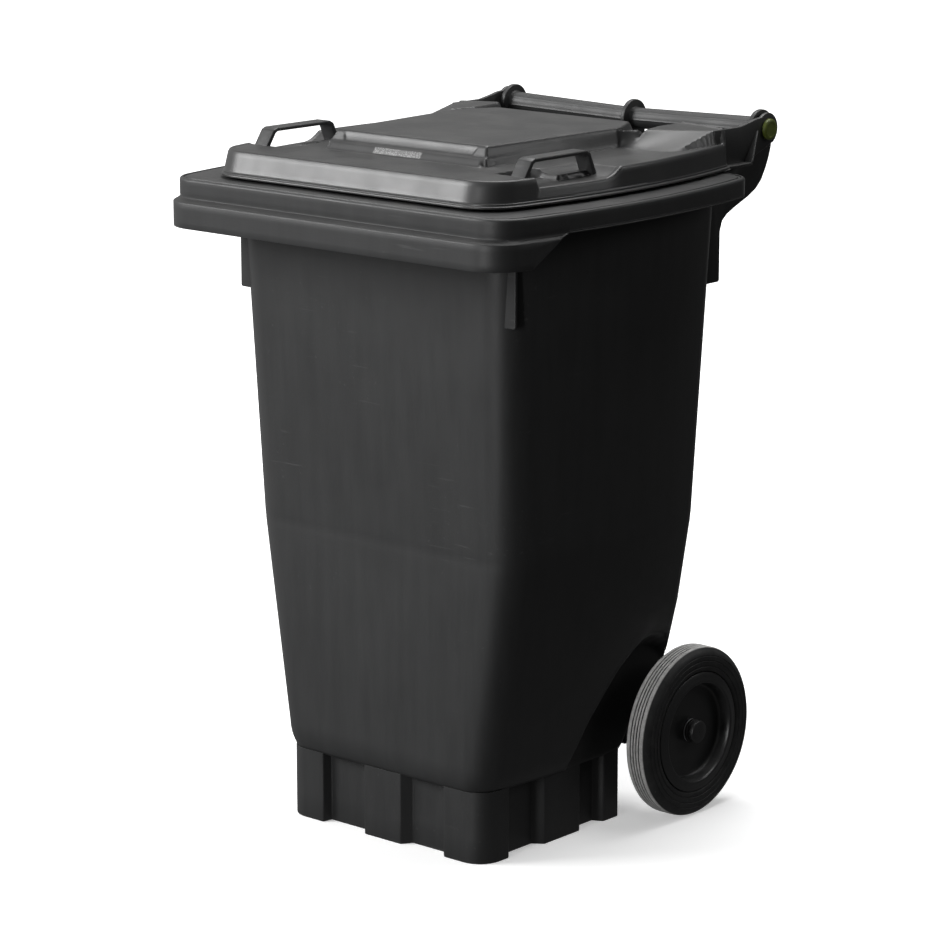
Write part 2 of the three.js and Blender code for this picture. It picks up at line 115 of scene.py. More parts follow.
# ---------------------------------------------------------------- outlines
class Sampling:
    """Where an outline has points: fractions (-1 to 1) along the front and back rows,
    steps in the corners, and fractions (0 to 1) along the sides."""

    def __init__(self, columns, front_steps, side, back_steps):
        self.columns = np.asarray(columns, float)
        self.front_steps, self.side, self.back_steps = front_steps, side, back_steps
        self.column_count = len(self.columns)
        self.side_count = front_steps + len(side) + back_steps


def outline(plan, inset, sampling):
    """Anticlockwise from the front left: front row, right side, back row, left side."""
    corner_x, bow, front, back, front_radius, back_radius = plan
    front, back = front - inset, back - inset
    front_radius, back_radius = front_radius - inset, back_radius - inset
    half_depth, middle_y = (front + back) / 2, (back - front) / 2
    side_radius = (half_depth ** 2 + bow ** 2) / (2 * bow)
    side_x = corner_x + bow - inset - side_radius

    def corner(radius, y):
        """Centre x of a corner, and the angle where it meets the bowed side."""
        x = side_x + math.sqrt((side_radius - radius) ** 2 - (y - middle_y) ** 2)
        return x, math.atan2(y - middle_y, x - side_x)

    def corner_points(x, y, radius, angles):
        return np.column_stack([x + radius * np.cos(angles), y + radius * np.sin(angles)])

    front_y, back_y = front_radius - front, back - back_radius
    front_x, front_angle = corner(front_radius, front_y)
    back_x, back_angle = corner(back_radius, back_y)
    quarter = math.pi / 2
    steps = np.arange(1, sampling.front_steps + 1) / sampling.front_steps
    front_turn = -quarter + (front_angle + quarter) * steps
    steps = np.arange(sampling.back_steps) / sampling.back_steps
    back_turn = back_angle + (quarter - back_angle) * steps
    start = front_y + front_radius * math.sin(front_angle)
    end = back_y + back_radius * math.sin(back_angle)
    y = start + (end - start) * sampling.side
    side_xs = side_x + np.sqrt(side_radius ** 2 - (y - middle_y) ** 2)
    right = np.concatenate([
        corner_points(front_x, front_y, front_radius, front_turn),
        np.column_stack([side_xs, y]),
        corner_points(back_x, back_y, back_radius, back_turn),
    ])
    columns, count = sampling.columns, sampling.column_count
    front_row = np.column_stack([columns * front_x, np.full(count, -front)])
    back_row = np.column_stack([columns[::-1] * back_x, np.full(count, back)])
    return np.concatenate([front_row, right, back_row, right[::-1] * [-1, 1]])


def level(xy, z):
    """An outline lifted to z: one height, or one for each point."""
    return np.column_stack([xy, np.broadcast_to(z, len(xy))])


def circle(x, radius, segments, y, z):
    """Ring about an axis along X; the radius may vary round the ring."""
    angles = np.arange(segments) * 2 * math.pi / segments
    return np.column_stack([
        np.full(segments, x), y + radius * np.cos(angles), z + radius * np.sin(angles),
    ])


def arc(y, z, radius, start, end, steps):
    """Arc in the (y, z) plane, in degrees, as fillet corners left sharp."""
    angles = [math.radians(start + (end - start) * i / steps) for i in range(steps + 1)]
    return [(y + radius * math.cos(a), z + radius * math.sin(a), 0) for a in angles]


def fillet(corners, steps):
    """Rounds a closed polygon; each corner is (x, y, radius)."""
    points = [np.array(corner[:2], float) for corner in corners]
    out = []
    for i, point in enumerate(points):
        radius = corners[i][2]
        if radius <= 0:
            out.append(tuple(point))
            continue
        before = points[i - 1] - point
        after = points[(i + 1) % len(points)] - point
        before_length, after_length = np.linalg.norm(before), np.linalg.norm(after)
        before, after = before / before_length, after / after_length
        angle = math.acos(max(-1, min(1, float(before @ after))))
        if angle > math.radians(176):
            out.append(tuple(point))
            continue
        half_tan = math.tan(angle / 2)
        reach = min(radius / half_tan, 0.46 * before_length, 0.46 * after_length)
        radius = reach * half_tan
        bisector = (before + after) / np.linalg.norm(before + after)
        centre = point + bisector * (radius / math.sin(angle / 2))
        start, end = point + before * reach - centre, point + after * reach - centre
        sweep = math.acos(max(-1, min(1, float(start @ end) / (radius * radius))))
        for k in range(steps + 1):
            t = k / steps
            spoke = math.sin((1 - t) * sweep) * start + math.sin(t * sweep) * end
            out.append(tuple(centre + spoke / math.sin(sweep)))
    return out


def without_repeats(points, tolerance=0.02):
    out = []
    for point in points:
        if not out or math.dist(point, out[-1]) > tolerance:
            out.append(point)
    if math.dist(out[0], out[-1]) <= tolerance:
        out.pop()
    return out


def signed_area(points):
    """Twice the area, positive when the points run anticlockwise."""
    after = np.roll(points, -1, 0)
    return float((points[:, 0] * after[:, 1] - after[:, 0] * points[:, 1]).sum())


def inset_polygon(points, distance):
    """Moves an anticlockwise outline inwards along its corner bisectors."""
    before = points - np.roll(points, 1, 0)
    after = np.roll(points, -1, 0) - points
    before /= np.linalg.norm(before, axis=1)[:, None]
    after /= np.linalg.norm(after, axis=1)[:, None]
    edges = before + after
    bisector = np.stack([-edges[:, 1], edges[:, 0]], 1)
    bisector /= np.maximum((bisector * bisector).sum(1), 0.6)[:, None] / 2
    return points + bisector * distance


# ---------------------------------------------------------------- meshes
def add_object(name, data):
    ob = bpy.data.objects.new(name, data)
    scene.collection.objects.link(ob)
    return ob


class Build:
    """Collects points and faces in drawing millimetres."""

    def __init__(self):
        self.points, self.faces, self.count = [], [], 0

    def add(self, points):
        first = self.count
        self.points.append(points)
        self.count += len(points)
        return np.arange(first, self.count)

    def band(self, a, b):
        """Faces between two closed rings; a ring of one point is a tip."""
        if len(a) == 1 or len(b) == 1:
            ring, tip = (b, a) if len(a) == 1 else (a, b)
            corners = [np.full(len(ring), tip[0]), ring, np.roll(ring, -1)]
        else:
            corners = [a, np.roll(a, -1), np.roll(b, -1), b]
        self.faces.extend(np.stack(corners, 1).tolist())

    def loft(self, rings, closed=False):
        rings = [self.add(ring) for ring in rings]
        for a, b in zip(rings, rings[1:] + (rings[:1] if closed else [])):
            self.band(a, b)
        return rings

    def fill(self, ring, sampling, height, up):
        """Fills an outline ring with a grid whose heights come from height(x, y)."""
        columns, sides = sampling.column_count, sampling.side_count
        rows = np.zeros((sides + 2, columns), int)
        rows[0] = ring[:columns]
        rows[1:-1, -1] = ring[columns:columns + sides]
        rows[-1] = ring[columns + sides:2 * columns + sides][::-1]
        rows[1:-1, 0] = ring[2 * columns + sides:][::-1]
        points = np.concatenate(self.points)
        left, right = points[rows[1:-1, 0]], points[rows[1:-1, -1]]
        across = (sampling.columns[1:-1] + 1) / 2
        x = left[:, :1] + (right[:, :1] - left[:, :1]) * across
        y = np.broadcast_to(right[:, 1:2], x.shape).ravel()
        x = x.ravel()
        inner = self.add(np.column_stack([x, y, height(x, y)]))
        rows[1:-1, 1:-1] = inner.reshape(sides, columns - 2)
        a, b, c, d = rows[:-1, :-1], rows[:-1, 1:], rows[1:, 1:], rows[1:, :-1]
        corners = [a, b, c, d] if up else [a, d, c, b]
        self.faces.extend(np.stack(corners, -1).reshape(-1, 4).tolist())

    def mesh(self, name, angle):
        """Makes the object; edges sharper than the angle, in degrees, are not smoothed."""
        points = (np.concatenate(self.points) + [0, SHIFT_Y, 0]) / 1000.0
        mesh = bpy.data.meshes.new(name)
        mesh.from_pydata(points.tolist(), [], self.faces)
        mesh.validate()
        mesh.update()
        bm = bmesh.new()
        bm.from_mesh(mesh)
        bmesh.ops.remove_doubles(bm, verts=bm.verts, dist=1e-7)
        bmesh.ops.recalc_face_normals(bm, faces=bm.faces)
        bm.to_mesh(mesh)
        bm.free()
        ob = add_object(name, mesh)
        mesh.polygons.foreach_set("use_smooth", [True] * len(mesh.polygons))
        mesh.set_sharp_from_angle(angle=math.radians(angle))
        mesh.update()
        return ob


def capped_loft(name, rings, angle):
    build = Build()
    rings = build.loft(rings)
    build.faces.append(rings[0][::-1].tolist())
    build.faces.append(rings[-1].tolist())
    return build.mesh(name, angle)


def plate(name, profile, start, end, rounding, axis="x", shear=None):
    """Flat part with rounded rims: an outline in the plane across the axis."""
    points = np.asarray(without_repeats(profile))
    if signed_area(points) < 0:
        points = points[::-1]
    steps = [(rounding * (1 - math.cos(turn)), rounding * (1 - math.sin(turn)))
             for turn in quarter_turn(4)]
    levels = [(start + depth, inset) for depth, inset in steps]
    levels += [(end - depth, inset) for depth, inset in steps[::-1]]
    rings = [np.insert(inset_polygon(points, inset), "xyz".index(axis), place, axis=1)
             for place, inset in levels]
    if shear:
        rings = [shear(ring) for ring in rings]
    return capped_loft(name, rings, angle=32)


def lathe(name, profile, centre, segments, mirror=False, angle=32):
    """Turned part about an axis along X through centre (y, z). The profile is
    [(radius, x), ...], and is a closed loop if its ends are off the axis."""
    on_axis = profile[0][0] == 0
    if not on_axis:
        profile = without_repeats(profile)
    rings = []
    for radius, x in profile:
        x = -x if mirror else x
        if radius == 0:
            rings.append(np.array([[x, *centre]], float))
        else:
            rings.append(circle(x, radius, segments, *centre))
    build = Build()
    build.loft(rings, closed=not on_axis)
    return build.mesh(name, angle)


def both_sides(part):
    """The part and its mirror image across x = 0."""
    mesh = part.data.copy()
    bm = bmesh.new()
    bm.from_mesh(mesh)
    for vert in bm.verts:
        vert.co.x = -vert.co.x
    bmesh.ops.reverse_faces(bm, faces=bm.faces)
    bm.to_mesh(mesh)
    bm.free()
    return [part, add_object(part.name + "_l", mesh)]


# ---------------------------------------------------------------- tub
COLUMNS = np.linspace(-1, 1, 41)
TUB_SAMPLING = Sampling(COLUMNS, 16, np.linspace(0, 1, 120)[1:-1], 14)
RIM_SIDE = spaced(0, 1, [(0, 3), (0.17, 3), (0.2, 0.8), (1, 1)], 118)
RIM_SAMPLING = Sampling(COLUMNS, 16, RIM_SIDE, 14)

# wheel arch seen from the side: y, z
ARCH = np.array([
    (-10, 60), (-8, 92), (7.5, 114), (25, 139), (43, 159), (70, 188), (97, 206.5), (112, 214),
    (130, 217.5), (150, 216.5), (165, 212), (178, 204), (194, 187), (206, 160), (212, 125),
    (214, 60),
], float)
ARCH_X = 152                # half width of the tub between the arches


def tub_plan(z):
    heights, *columns = zip(*TUB)
    return [float(np.interp(z, heights, column)) for column in columns]


def underside(y):
    """Height of the tub's underside: level, then sloping up at the back above the axle."""
    return 80.5 + 43.5 * smooth_step(101, 140, y)


def floor_height(y):
    return FLOOR + underside(y) - 80.5


def polygon_distance(y, z, polygon):
    """Signed distance to a polygon, negative inside."""
    distance = np.full(y.shape, 1e9)
    inside = np.zeros(y.shape, bool)
    for i, end in enumerate(polygon):
        start = polygon[i - 1]
        edge = end - start
        t = np.clip(((y - start[0]) * edge[0] + (z - start[1]) * edge[1]) / (edge @ edge), 0, 1)
        gap = np.hypot(y - start[0] - t * edge[0], z - start[1] - t * edge[1])
        distance = np.minimum(distance, gap)
        crosses = (start[1] > z) != (end[1] > z)
        rise = edge[1] or 1e-9          # a level edge is never crossed
        inside ^= crosses & (y < start[0] + (z - start[1]) * edge[0] / rise)
    return np.where(inside, -distance, distance)


def scooped(points, wall):
    """Pushes a tub wall in where the wheel arches are."""
    points = points.copy()
    near = (points[:, 2] < ARCH_ZONE_TOP) & (points[:, 1] > -40)
    x, y, z = points[near].T
    # the scoop's side slopes outwards from 13.5 inside the arch outline
    slope = -smooth_min(-(polygon_distance(y, z, ARCH) + 13.5), 0.0, 6)
    limit = ARCH_X - wall + 1.75 * slope
    half_x = np.abs(x)
    points[near, 0] = np.sign(x) * np.minimum(smooth_min(half_x, limit, 5.0), half_x)
    return points


def tub_ring(plan_z, inset, z, scoop_wall=None):
    """Tub outline at height z, a number or a function of y."""
    xy = outline(tub_plan(plan_z), inset, TUB_SAMPLING)
    ring = level(xy, z(xy[:, 1]) if callable(z) else z)
    return ring if scoop_wall is None else scooped(ring, scoop_wall)


def tub_outside():
    """From the underside up to the flare below the rim."""
    rings = []
    for turn in quarter_turn(9):
        inset = 12 * (1 - math.sin(turn)) + (3 if turn == 0 else 0)
        rise = BOTTOM_ROUND * (1 - math.cos(turn))
        rings.append(tub_ring(TUB_BOTTOM + rise, inset, lambda y: underside(y) + rise, 0))
    low = TUB_BOTTOM + BOTTOM_ROUND
    for s in np.linspace(0, 1, 40)[1:]:
        def height(y):
            start = underside(y) + BOTTOM_ROUND
            return start + (ARCH_ZONE_TOP - start) * s
        rings.append(tub_ring(low + (ARCH_ZONE_TOP - low) * s, 0, height, 0))
    crease = {352: 0.25, 690: 0.1}      # slight inset where the wall changes slope
    for z in (275, 300, 325, 340, 347, 352, 357, 364, 380, 410, 450, 490, 530, 570, 610, 650,
              684, 690, 696, 715, 732, 738):
        rings.append(tub_ring(z, crease.get(z, 0), z))
    for turn in quarter_turn(5)[1:]:
        rings.append(tub_ring(743, -5 * (1 - math.cos(turn)), 738.4 + 5 * math.sin(turn)))
    return rings


def rim_rings():
    """From the deck's underside, down inside the rim, up its outside and over the deck."""
    def rim(inset):
        return outline(RIM, inset, RIM_SAMPLING)

    y = rim(0)[:, 1]
    bottom = np.interp(y, [-400, -170.5, -166.7, -127.2, -124.5, 400],
                       [692.4, 692.4, 695.2, 723.2, 725.2, 725.2])

    def blended(inner, outer, share=1.0):
        """The first outline, going over to the second at the front lip."""
        at_lip = 1 - smooth_step(-128.5, -125.5, inner[:, 1])
        return inner + (outer - inner) * (at_lip * share)[:, None]

    def lipped(inset, share=1.0):
        return blended(rim(inset), outline(LIP, inset, RIM_SAMPLING), share)

    # inside: inset, z
    rings = [level(rim(WALL + inset), z)
             for inset, z in ((6, 743.4), (1.6, 743.2), (0.2, 741.8), (0, 734))]
    shoulder = np.minimum(bottom + 26, 726.2)
    rings.append(level(lipped(WALL, 0.0), np.maximum(bottom + 1.2, 727.2)))
    rings.append(level(lipped(WALL, 0.85), shoulder))
    for s in (0.75, 0.5, 0.25):
        z = bottom + 1.0 + (shoulder - bottom - 1.0) * s * 0.98
        rings.append(level(lipped(WALL - 0.2), z))
    # round the bottom edge: inset, rise above the bottom
    for inset, rise in ((WALL - 0.5, 0.8), (WALL - 1.2, 0.15), (1.0, 0), (0.3, 0.3), (0, 0.9)):
        rings.append(level(lipped(inset), bottom + rise))
    # outside of the lip
    lip_top = np.maximum(720.6, bottom + 1.0)
    for s in (0.25, 0.5, 0.75, 1.0):
        rings.append(level(lipped(0), bottom + 0.9 + (lip_top - bottom - 0.9) * s))
    rings.append(level(lipped(0.35), lip_top + 0.75))
    rings.append(level(lipped(1.1), lip_top + 1.35))
    band_foot, lip_inner = rim(0.1), outline(LIP, 2.2, RIM_SAMPLING)
    ledge = lip_inner + (band_foot - lip_inner) * 0.55
    rings.append(level(blended(band_foot, ledge), np.maximum(723.7, lip_top + 1.6)))
    rings.append(level(band_foot, np.maximum(725.6, lip_top + 1.9)))
    # shallow groove under the upper band, then the band with its rounded top
    rings.append(level(rim(0.35), np.maximum(726.6, lip_top + 2.4)))
    rings += [level(rim(0), z) for z in (728.6, 734, 740, 744.2)]
    rings += [level(rim(3.2 * (1 - math.cos(turn))), 744.2 + 3.2 * math.sin(turn))
              for turn in quarter_turn(5)[1:]]
    # deck with a shallow groove: inset, z
    rings += [level(rim(inset), z) for inset, z in (
        (3.06, 747.4), (3.91, 747.2), (4.284, 746.2), (6.8, 746.2), (7.208, 747.2),
        (7.82, 747.4))]
    return rings


def tub_inside():
    """From the rounded mouth down to the floor."""
    rings = [tub_ring(745, 0.2 + 3.8 * math.sin(turn), 747.4 - 3.8 * (1 - math.cos(turn)))
             for turn in quarter_turn(5)]
    rings += [tub_ring(z, WALL, z) for z in (
        735, 715, 690, 650, 600, 540, 480, 420, 370, 352, 330, 300, 270)]
    low = FLOOR + FLOOR_ROUND
    for s in np.linspace(1, 0, 30):
        def height(y):
            start = floor_height(y) + FLOOR_ROUND
            return start + (ARCH_ZONE_TOP - start) * s
        rings.append(tub_ring(low + (ARCH_ZONE_TOP - low) * s, WALL, height, WALL))
    for turn in quarter_turn(8)[1:]:
        rise = FLOOR_ROUND * (1 - math.sin(turn))
        inset = WALL + 17 * (1 - math.cos(turn))
        rings.append(tub_ring(FLOOR + rise, inset, lambda y: floor_height(y) + rise, WALL))
    return rings


def body_shell():
    build = Build()
    rings = build.loft(tub_outside() + rim_rings() + tub_inside())
    build.fill(rings[0], TUB_SAMPLING, lambda x, y: underside(y), up=False)
    build.fill(rings[-1], TUB_SAMPLING, lambda x, y: floor_height(y), up=True)
    return build.mesh("body", angle=30)


# ---------------------------------------------------------------- skirt under the tub
def skirt_outline(inset):
    notch = 12.5                        # depth of the recesses in its sides
    half_width, front, back = 151.2 - inset, 137.1 - inset, 128 - inset
    corner = 29 - inset
    slip = inset * 0.6
    # right half from the front middle to the back middle: x, y, corner radius
    half = [(0, -front, 0), (27.5 - slip, -front, 3), (36.0 - slip, -front + notch, 3),
            (90.6 + inset, -front + notch, 1.6), (92.6 + inset, -front, 2.2)]
    for i in range(9):
        angle = -math.pi / 2 + i * math.pi / 16
        half.append((half_width - corner + corner * math.cos(angle),
                     -front + corner + corner * math.sin(angle), 0))
    half += [
        (half_width, -91 - inset, 2.4), (half_width - notch, -90 - inset, 1.6),
        (half_width - notch, -38 + slip, 3), (half_width, -29 + slip, 3),
        (half_width, 34 - inset, 2.4), (half_width - notch, 35.4 - inset, 1.6),
        (half_width - notch, 71 + slip, 2.4), (half_width, 77 + slip, 3),
        (half_width, 103 - inset * 0.4, 3), (half_width - 24, back, 5), (60, back, 3),
        (52, back - notch, 3), (0, back - notch, 0),
    ]
    corners = half + [(-x, y, radius) for x, y, radius in half[1:-1][::-1]]
    tighter = 0.4 if inset else 0
    return np.array(fillet([(x, y, max(r - tighter, 0)) for x, y, r in corners], 4))


def skirt():
    outer, inner = skirt_outline(0), skirt_outline(3.6)
    # z (None: just inside the tub's underside), share of the way from outer to inner face
    sections = [(None, 0), (60, 0), (30, 0), (1.2, 0), (0.35, 0.1), (0, 0.3),
                (0, 0.7), (0.35, 0.9), (1.2, 1), (30, 1), (60, 1), (None, 1)]
    rings = []
    for z, share in sections:
        xy = outer + (inner - outer) * share
        rings.append(level(xy, underside(xy[:, 1]) + 3.0 if z is None else z))
    build = Build()
    build.loft(rings, closed=True)
    return build.mesh("skirt", angle=30)


# ---------------------------------------------------------------- parts on the tub
def tub_half_width(y, z):
    sampling = Sampling([-1, 0, 1], 40, np.linspace(0, 1, 60)[1:-1], 30)
    first = sampling.column_count
    right = outline(tub_plan(z), 0, sampling)[first:first + sampling.side_count]
    return float(np.interp(y, right[:, 1], right[:, 0]))


def corner_ribs():
    y, half_thick, low = -144.3, 1.8, 618
    x_low, x_high = [tub_half_width(y, z) - 2.5 for z in (low, 735)]
    profile = fillet([(x_low, low, 0), (204.6, low, 3), (204.6, 744, 0), (x_high, 744, 0)], 6)
    return both_sides(plate("rib", profile, y - half_thick, y + half_thick, 0.7, "y"))


def rear_arm(name, x, drop):
    """Arm behind the tub that ends in a ring round the handle bar."""
    def tub_back(z):
        return tub_plan(z)[3] - 2.2

    # y, z, corner radius
    lower = [
        (tub_back(618), 618, 0), (233.4, 618, 3), (233.4, 676, 8), (237.5, 688, 8),
        (247, 695, 8), (262, 701.5, 20), (286, 710.5, 25), (301, 718, 20), (311, 727, 15),
        (319, 740, 15), (325, 753, 15), (328.5, 764, 15),
    ]
    upper = [(285, 770 - drop, 6), (272, 758, 14), (250, 745.4, 12), (216, 745.4, 0),
             (tub_back(690), 690, 0)]
    ring = arc(HINGE_Y, HINGE_Z - drop, 22, -30, 190, 44)
    profile = fillet(lower + ring + upper, 6)
    return plate(name, profile, x - ARM_THICK / 2, x + ARM_THICK / 2, 1.1)


def handle_bar():
    """Bar that sags a little to the middle ring, with four ridges along it."""
    segments = 96
    angles = np.arange(segments) * 2 * math.pi / segments
    relief = -0.21 * np.cos(angles * 4 + 0.4)
    for ridge in (137.0, 183.0, 43.0, -3.0):        # degrees; 180 faces forward
        away = (np.degrees(angles) - ridge + 180) % 360 - 180
        relief = relief + 0.5 * np.exp(-(away / 3.2) ** 2)
    rings = []
    for x in np.concatenate([np.linspace(-ARM_X, 0, 16), np.linspace(0, ARM_X, 16)[1:]]):
        outward = abs(x) / ARM_X
        radius = BAR_RADIUS - 0.6 + outward + relief
        z = HINGE_Z - BAR_SAG * (1 - outward)
        rings.append(circle(x, radius, segments, HINGE_Y, z))
    return capped_loft("bar", rings, angle=30)


def bar_collars():
    """Flares where the bar meets the rings."""
    face = ARM_THICK / 2 - 0.5
    # x where it starts, direction along x, radius at its thin end, drop
    collars = [
        (face, 1, BAR_RADIUS - 1, BAR_SAG), (-face, -1, BAR_RADIUS - 1, BAR_SAG),
        (ARM_X - face, -1, BAR_RADIUS, 0), (face - ARM_X, 1, BAR_RADIUS, 0),
    ]
    parts = []
    for start, direction, thin, drop in collars:
        rings = []
        for i in range(11):
            t = i / 10
            radius = thin + 2.6 * (1 - math.sin(t * math.pi / 2))
            rings.append(circle(start + direction * 3.0 * t, radius, 64,
                                HINGE_Y, HINGE_Z - drop))
        parts.append(capped_loft("collar", rings, angle=30))
    return parts


def axle_bearers():
    """Blocks and round bosses under the raised rear of the tub."""
    profile = fillet([(128, 80, 0), (184, 78, 5), (190, 84, 5), (190, 128, 0), (128, 128, 0)], 5)
    parts = []
    for inner, outer in ((132, 142), (44, 52)):
        for side in (1, -1):
            low, high = sorted((side * inner, side * outer))
            parts.append(plate("bearer", profile, low, high, 0.9))
            boss = [(0, low - 0.001), (13.5, low - 0.801), (14, low - 0.5),
                    (14, high + 0.5), (13.5, high + 0.8), (0, high + 0.8)]
            parts.append(lathe("boss", boss, AXLE, 64))
    return parts


def body_parts():
    arms = [rear_arm("arm_m", 0, BAR_SAG), ]
    return []


def all_body_parts():
    parts = corner_ribs()
    for name, x, drop in (("arm_m", 0, BAR_SAG), ("arm_r", ARM_X, 0), ("arm_l", -ARM_X, 0)):
        parts.append(rear_arm(name, x, drop))
    parts.append(handle_bar())
    return parts + bar_collars() + axle_bearers()


del body_parts


# ---------------------------------------------------------------- lid surface
# plans at the lid's foot and at its shoulder, columns as for RIM
LID_LOW = [203.8, 25.8, 190.9, 231, 48, 16]
LID_HIGH = [201.2, 25.8, 183.5, 229, 44, 14]
DECK = 778.2
# raised panel in two tiers: height, then the right half of its outline there, front to back
PANEL = [
    (DECK - 0.4, [(121, -99.5), (128, 124), (129, 140), (107, 186), (103, 192)]),
    (786.2, [(117.6, -93.2), (127, 124), (127, 138), (106, 180), (102, 186)]),
    (787.6, [(115.2, -90.6), (126, 123), (126, 137), (105, 178), (101, 184)]),
    (799.0, [(110.6, -83.8), (124.4, 122), (124.4, 133.6), (102.6, 173.6), (97.6, 179.6)]),
    (800.1, [(108.2, -80.6), (122.5, 121), (122.5, 132), (101, 172), (96, 177.5)]),
]
NOWHERE = 1e3               # beyond any height: such a surface never counts


def convex_distance(half_x, y, half_outline):
    """Greatest distance outside the edges of a mirrored convex polygon; negative inside."""
    corners = [(0, half_outline[0][1])] + half_outline + [(0, half_outline[-1][1])]
    distance = np.full(y.shape, -1e9)
    for (x0, y0), (x1, y1) in zip(corners, corners[1:]):
        run_x, run_y = x1 - x0, y1 - y0
        length = math.hypot(run_x, run_y)
        across = (half_x - x0) * (run_y / length) - (y - y0) * (run_x / length)
        distance = np.maximum(distance, across)
    return distance


def panel_height(x, y, half_x):
    # trapezoid sunk into the front slope of the upper tier
    sunk = (smooth_step(99.5, 98, half_x - 0.9 * (y + 84.5))
            * smooth_step(-90.4, -89.4, y) * smooth_step(-84.2, -85.2, y))
    distances = [convex_distance(half_x, y - sunk, corners) for _, corners in PANEL]
    z = np.full(x.shape, DECK)
    for k, (height, _) in enumerate(PANEL):
        inward = -distances[k]
        if k + 1 < len(PANEL):
            beyond = np.maximum(distances[k + 1], 0)
            t = np.clip(inward / (inward + beyond + 1e-6), 0, 1)
            tier = height + (PANEL[k + 1][0] - height) * t
        else:
            tier = height + 0.9 * (1 - np.exp(-inward / 45))    # slight crown
        z = np.where(inward > 0, tier, z)
    # small raised inlay on the front tier
    inlay = (smooth_step(-45, -44, x) * smooth_step(26.5, 25.5, x)
             * smooth_step(-98.2, -97.4, y) * smooth_step(-93.2, -94.0, y))
    return np.maximum(z, DECK) + 0.55 * inlay


def wing_height(half_x, y):
    """Wings beside the panel's back, flaring out to the hinge ears."""
    top_y = 126 + (half_x - 127) * (87 / 70.2)
    foot_y = np.interp(half_x, [120, 171, 178, 184, 190, 197.2],
                       [124.5, 124.5, 125.6, 128, 131.6, 139.5])
    foot_y = np.minimum(foot_y, top_y - 3.5)
    top_z = np.interp(half_x, [127, 197.2], [798, 794.6])
    slope = DECK + (top_z - DECK) * np.clip((y - foot_y) / (top_y - foot_y), 0, 1)
    # inner boundary, beside the valley behind the panel's chamfer
    inner_x = np.interp(y, [120, 138, 160, 185, 205, 240], [138, 136.5, 129, 123.5, 124, 128])
    valley = DECK - 1.5 + 1.7 * np.maximum(half_x - inner_x, 0)
    behind = y - top_y - 2.4
    ridge = np.where(behind < 0, slope, top_z - 2.2 * behind)
    ridge = np.where((half_x > 124) & (half_x < 142), ridge, -NOWHERE)
    wing = np.maximum(np.minimum(slope, valley), ridge)
    wing = np.where(half_x > 120, wing, -NOWHERE)
    return np.minimum(wing, DECK + 40 * np.maximum(EAR_OUT - 0.2 - half_x, 0))


def recess_height(half_x, y):
    """Finger recesses under the loops, each with a shallow scooped block at its back."""
    recess = (767.5 + 4.0 * np.maximum(-119.5 - y, 0) + 9.5 * (np.maximum(y + 22, 0) / 26) ** 2
              + 4.0 * np.maximum(158.0 - half_x, 0))
    block = (773.0 + 0.0096 * (half_x - 184) ** 2 - 4.0 * np.maximum(half_x - 192.5, 0)
             - 4.0 * np.maximum(-62.0 - y, 0) + 0.9 * np.maximum(168 - half_x, 0))
    recess = np.maximum(recess, np.where(y > -80, block, -NOWHERE))
    return np.where((half_x > 140) & (y > -135) & (y < 30), recess, NOWHERE)


def lid_sharp(x, y):
    half_x = np.abs(x)
    z = np.maximum(panel_height(x, y, half_x), wing_height(half_x, y))
    return np.minimum(z, recess_height(half_x, y))


def offsets(count, radius):
    angles = np.arange(count) * 2 * math.pi / count
    return [(radius * math.cos(a), radius * math.sin(a)) for a in angles]


# the surface is averaged over these points, which softens its edges: dx, dy, weight
KERNEL = ([(0.0, 0.0, 2.0)] + [(*xy, 1.0) for xy in offsets(8, 1.35)]
          + [(*xy, 1.4) for xy in offsets(6, 0.7)])


def lid_top(x, y):
    total = sum(weight * lid_sharp(x + dx, y + dy) for dx, dy, weight in KERNEL)
    return total / sum(weight for _, _, weight in KERNEL)


def lid_under(x, y):
    z = lid_top(x, y) - LID_WALL
    for dx, dy in offsets(8, 2.6):
        z = np.minimum(z, lid_top(x + dx, y + dy) - 1.6)
    return z


# ---------------------------------------------------------------- lid pieces
def lid_sampling():
    """Points crowd where the surface is steep. Densities: position, weight."""
    half_width = 226.0
    half = spaced(0, half_width, [
        (0, 0.5), (95, 0.5), (104, 1.6), (133, 1.6), (140, 1.0), (150, 1.0), (190, 1.0),
        (194, 2.4), (199, 2.4), (203, 0.9), (half_width, 0.9)], 118) / half_width
    front, back = -139.5, 215.0
    side = spaced(front, back, [
        (front, 1), (-124, 1), (-121, 2.6), (-115, 2.6), (-112, 1), (-104, 1), (-102, 2.2),
        (-78, 2.2), (-74, 0.8), (-66, 0.9), (-64, 2.6), (-59, 2.6), (-56, 0.8), (-25, 0.8),
        (-20, 1.3), (8, 1.3), (12, 0.5), (112, 0.5), (118, 1.5), (145, 1.4), (150, 1),
        (200, 1), (back, 1.2)], 240)
    columns = np.concatenate([[-1], -half[::-1], [0], half, [1]])
    return Sampling(columns, 22, (side - front) / (back - front), 12)


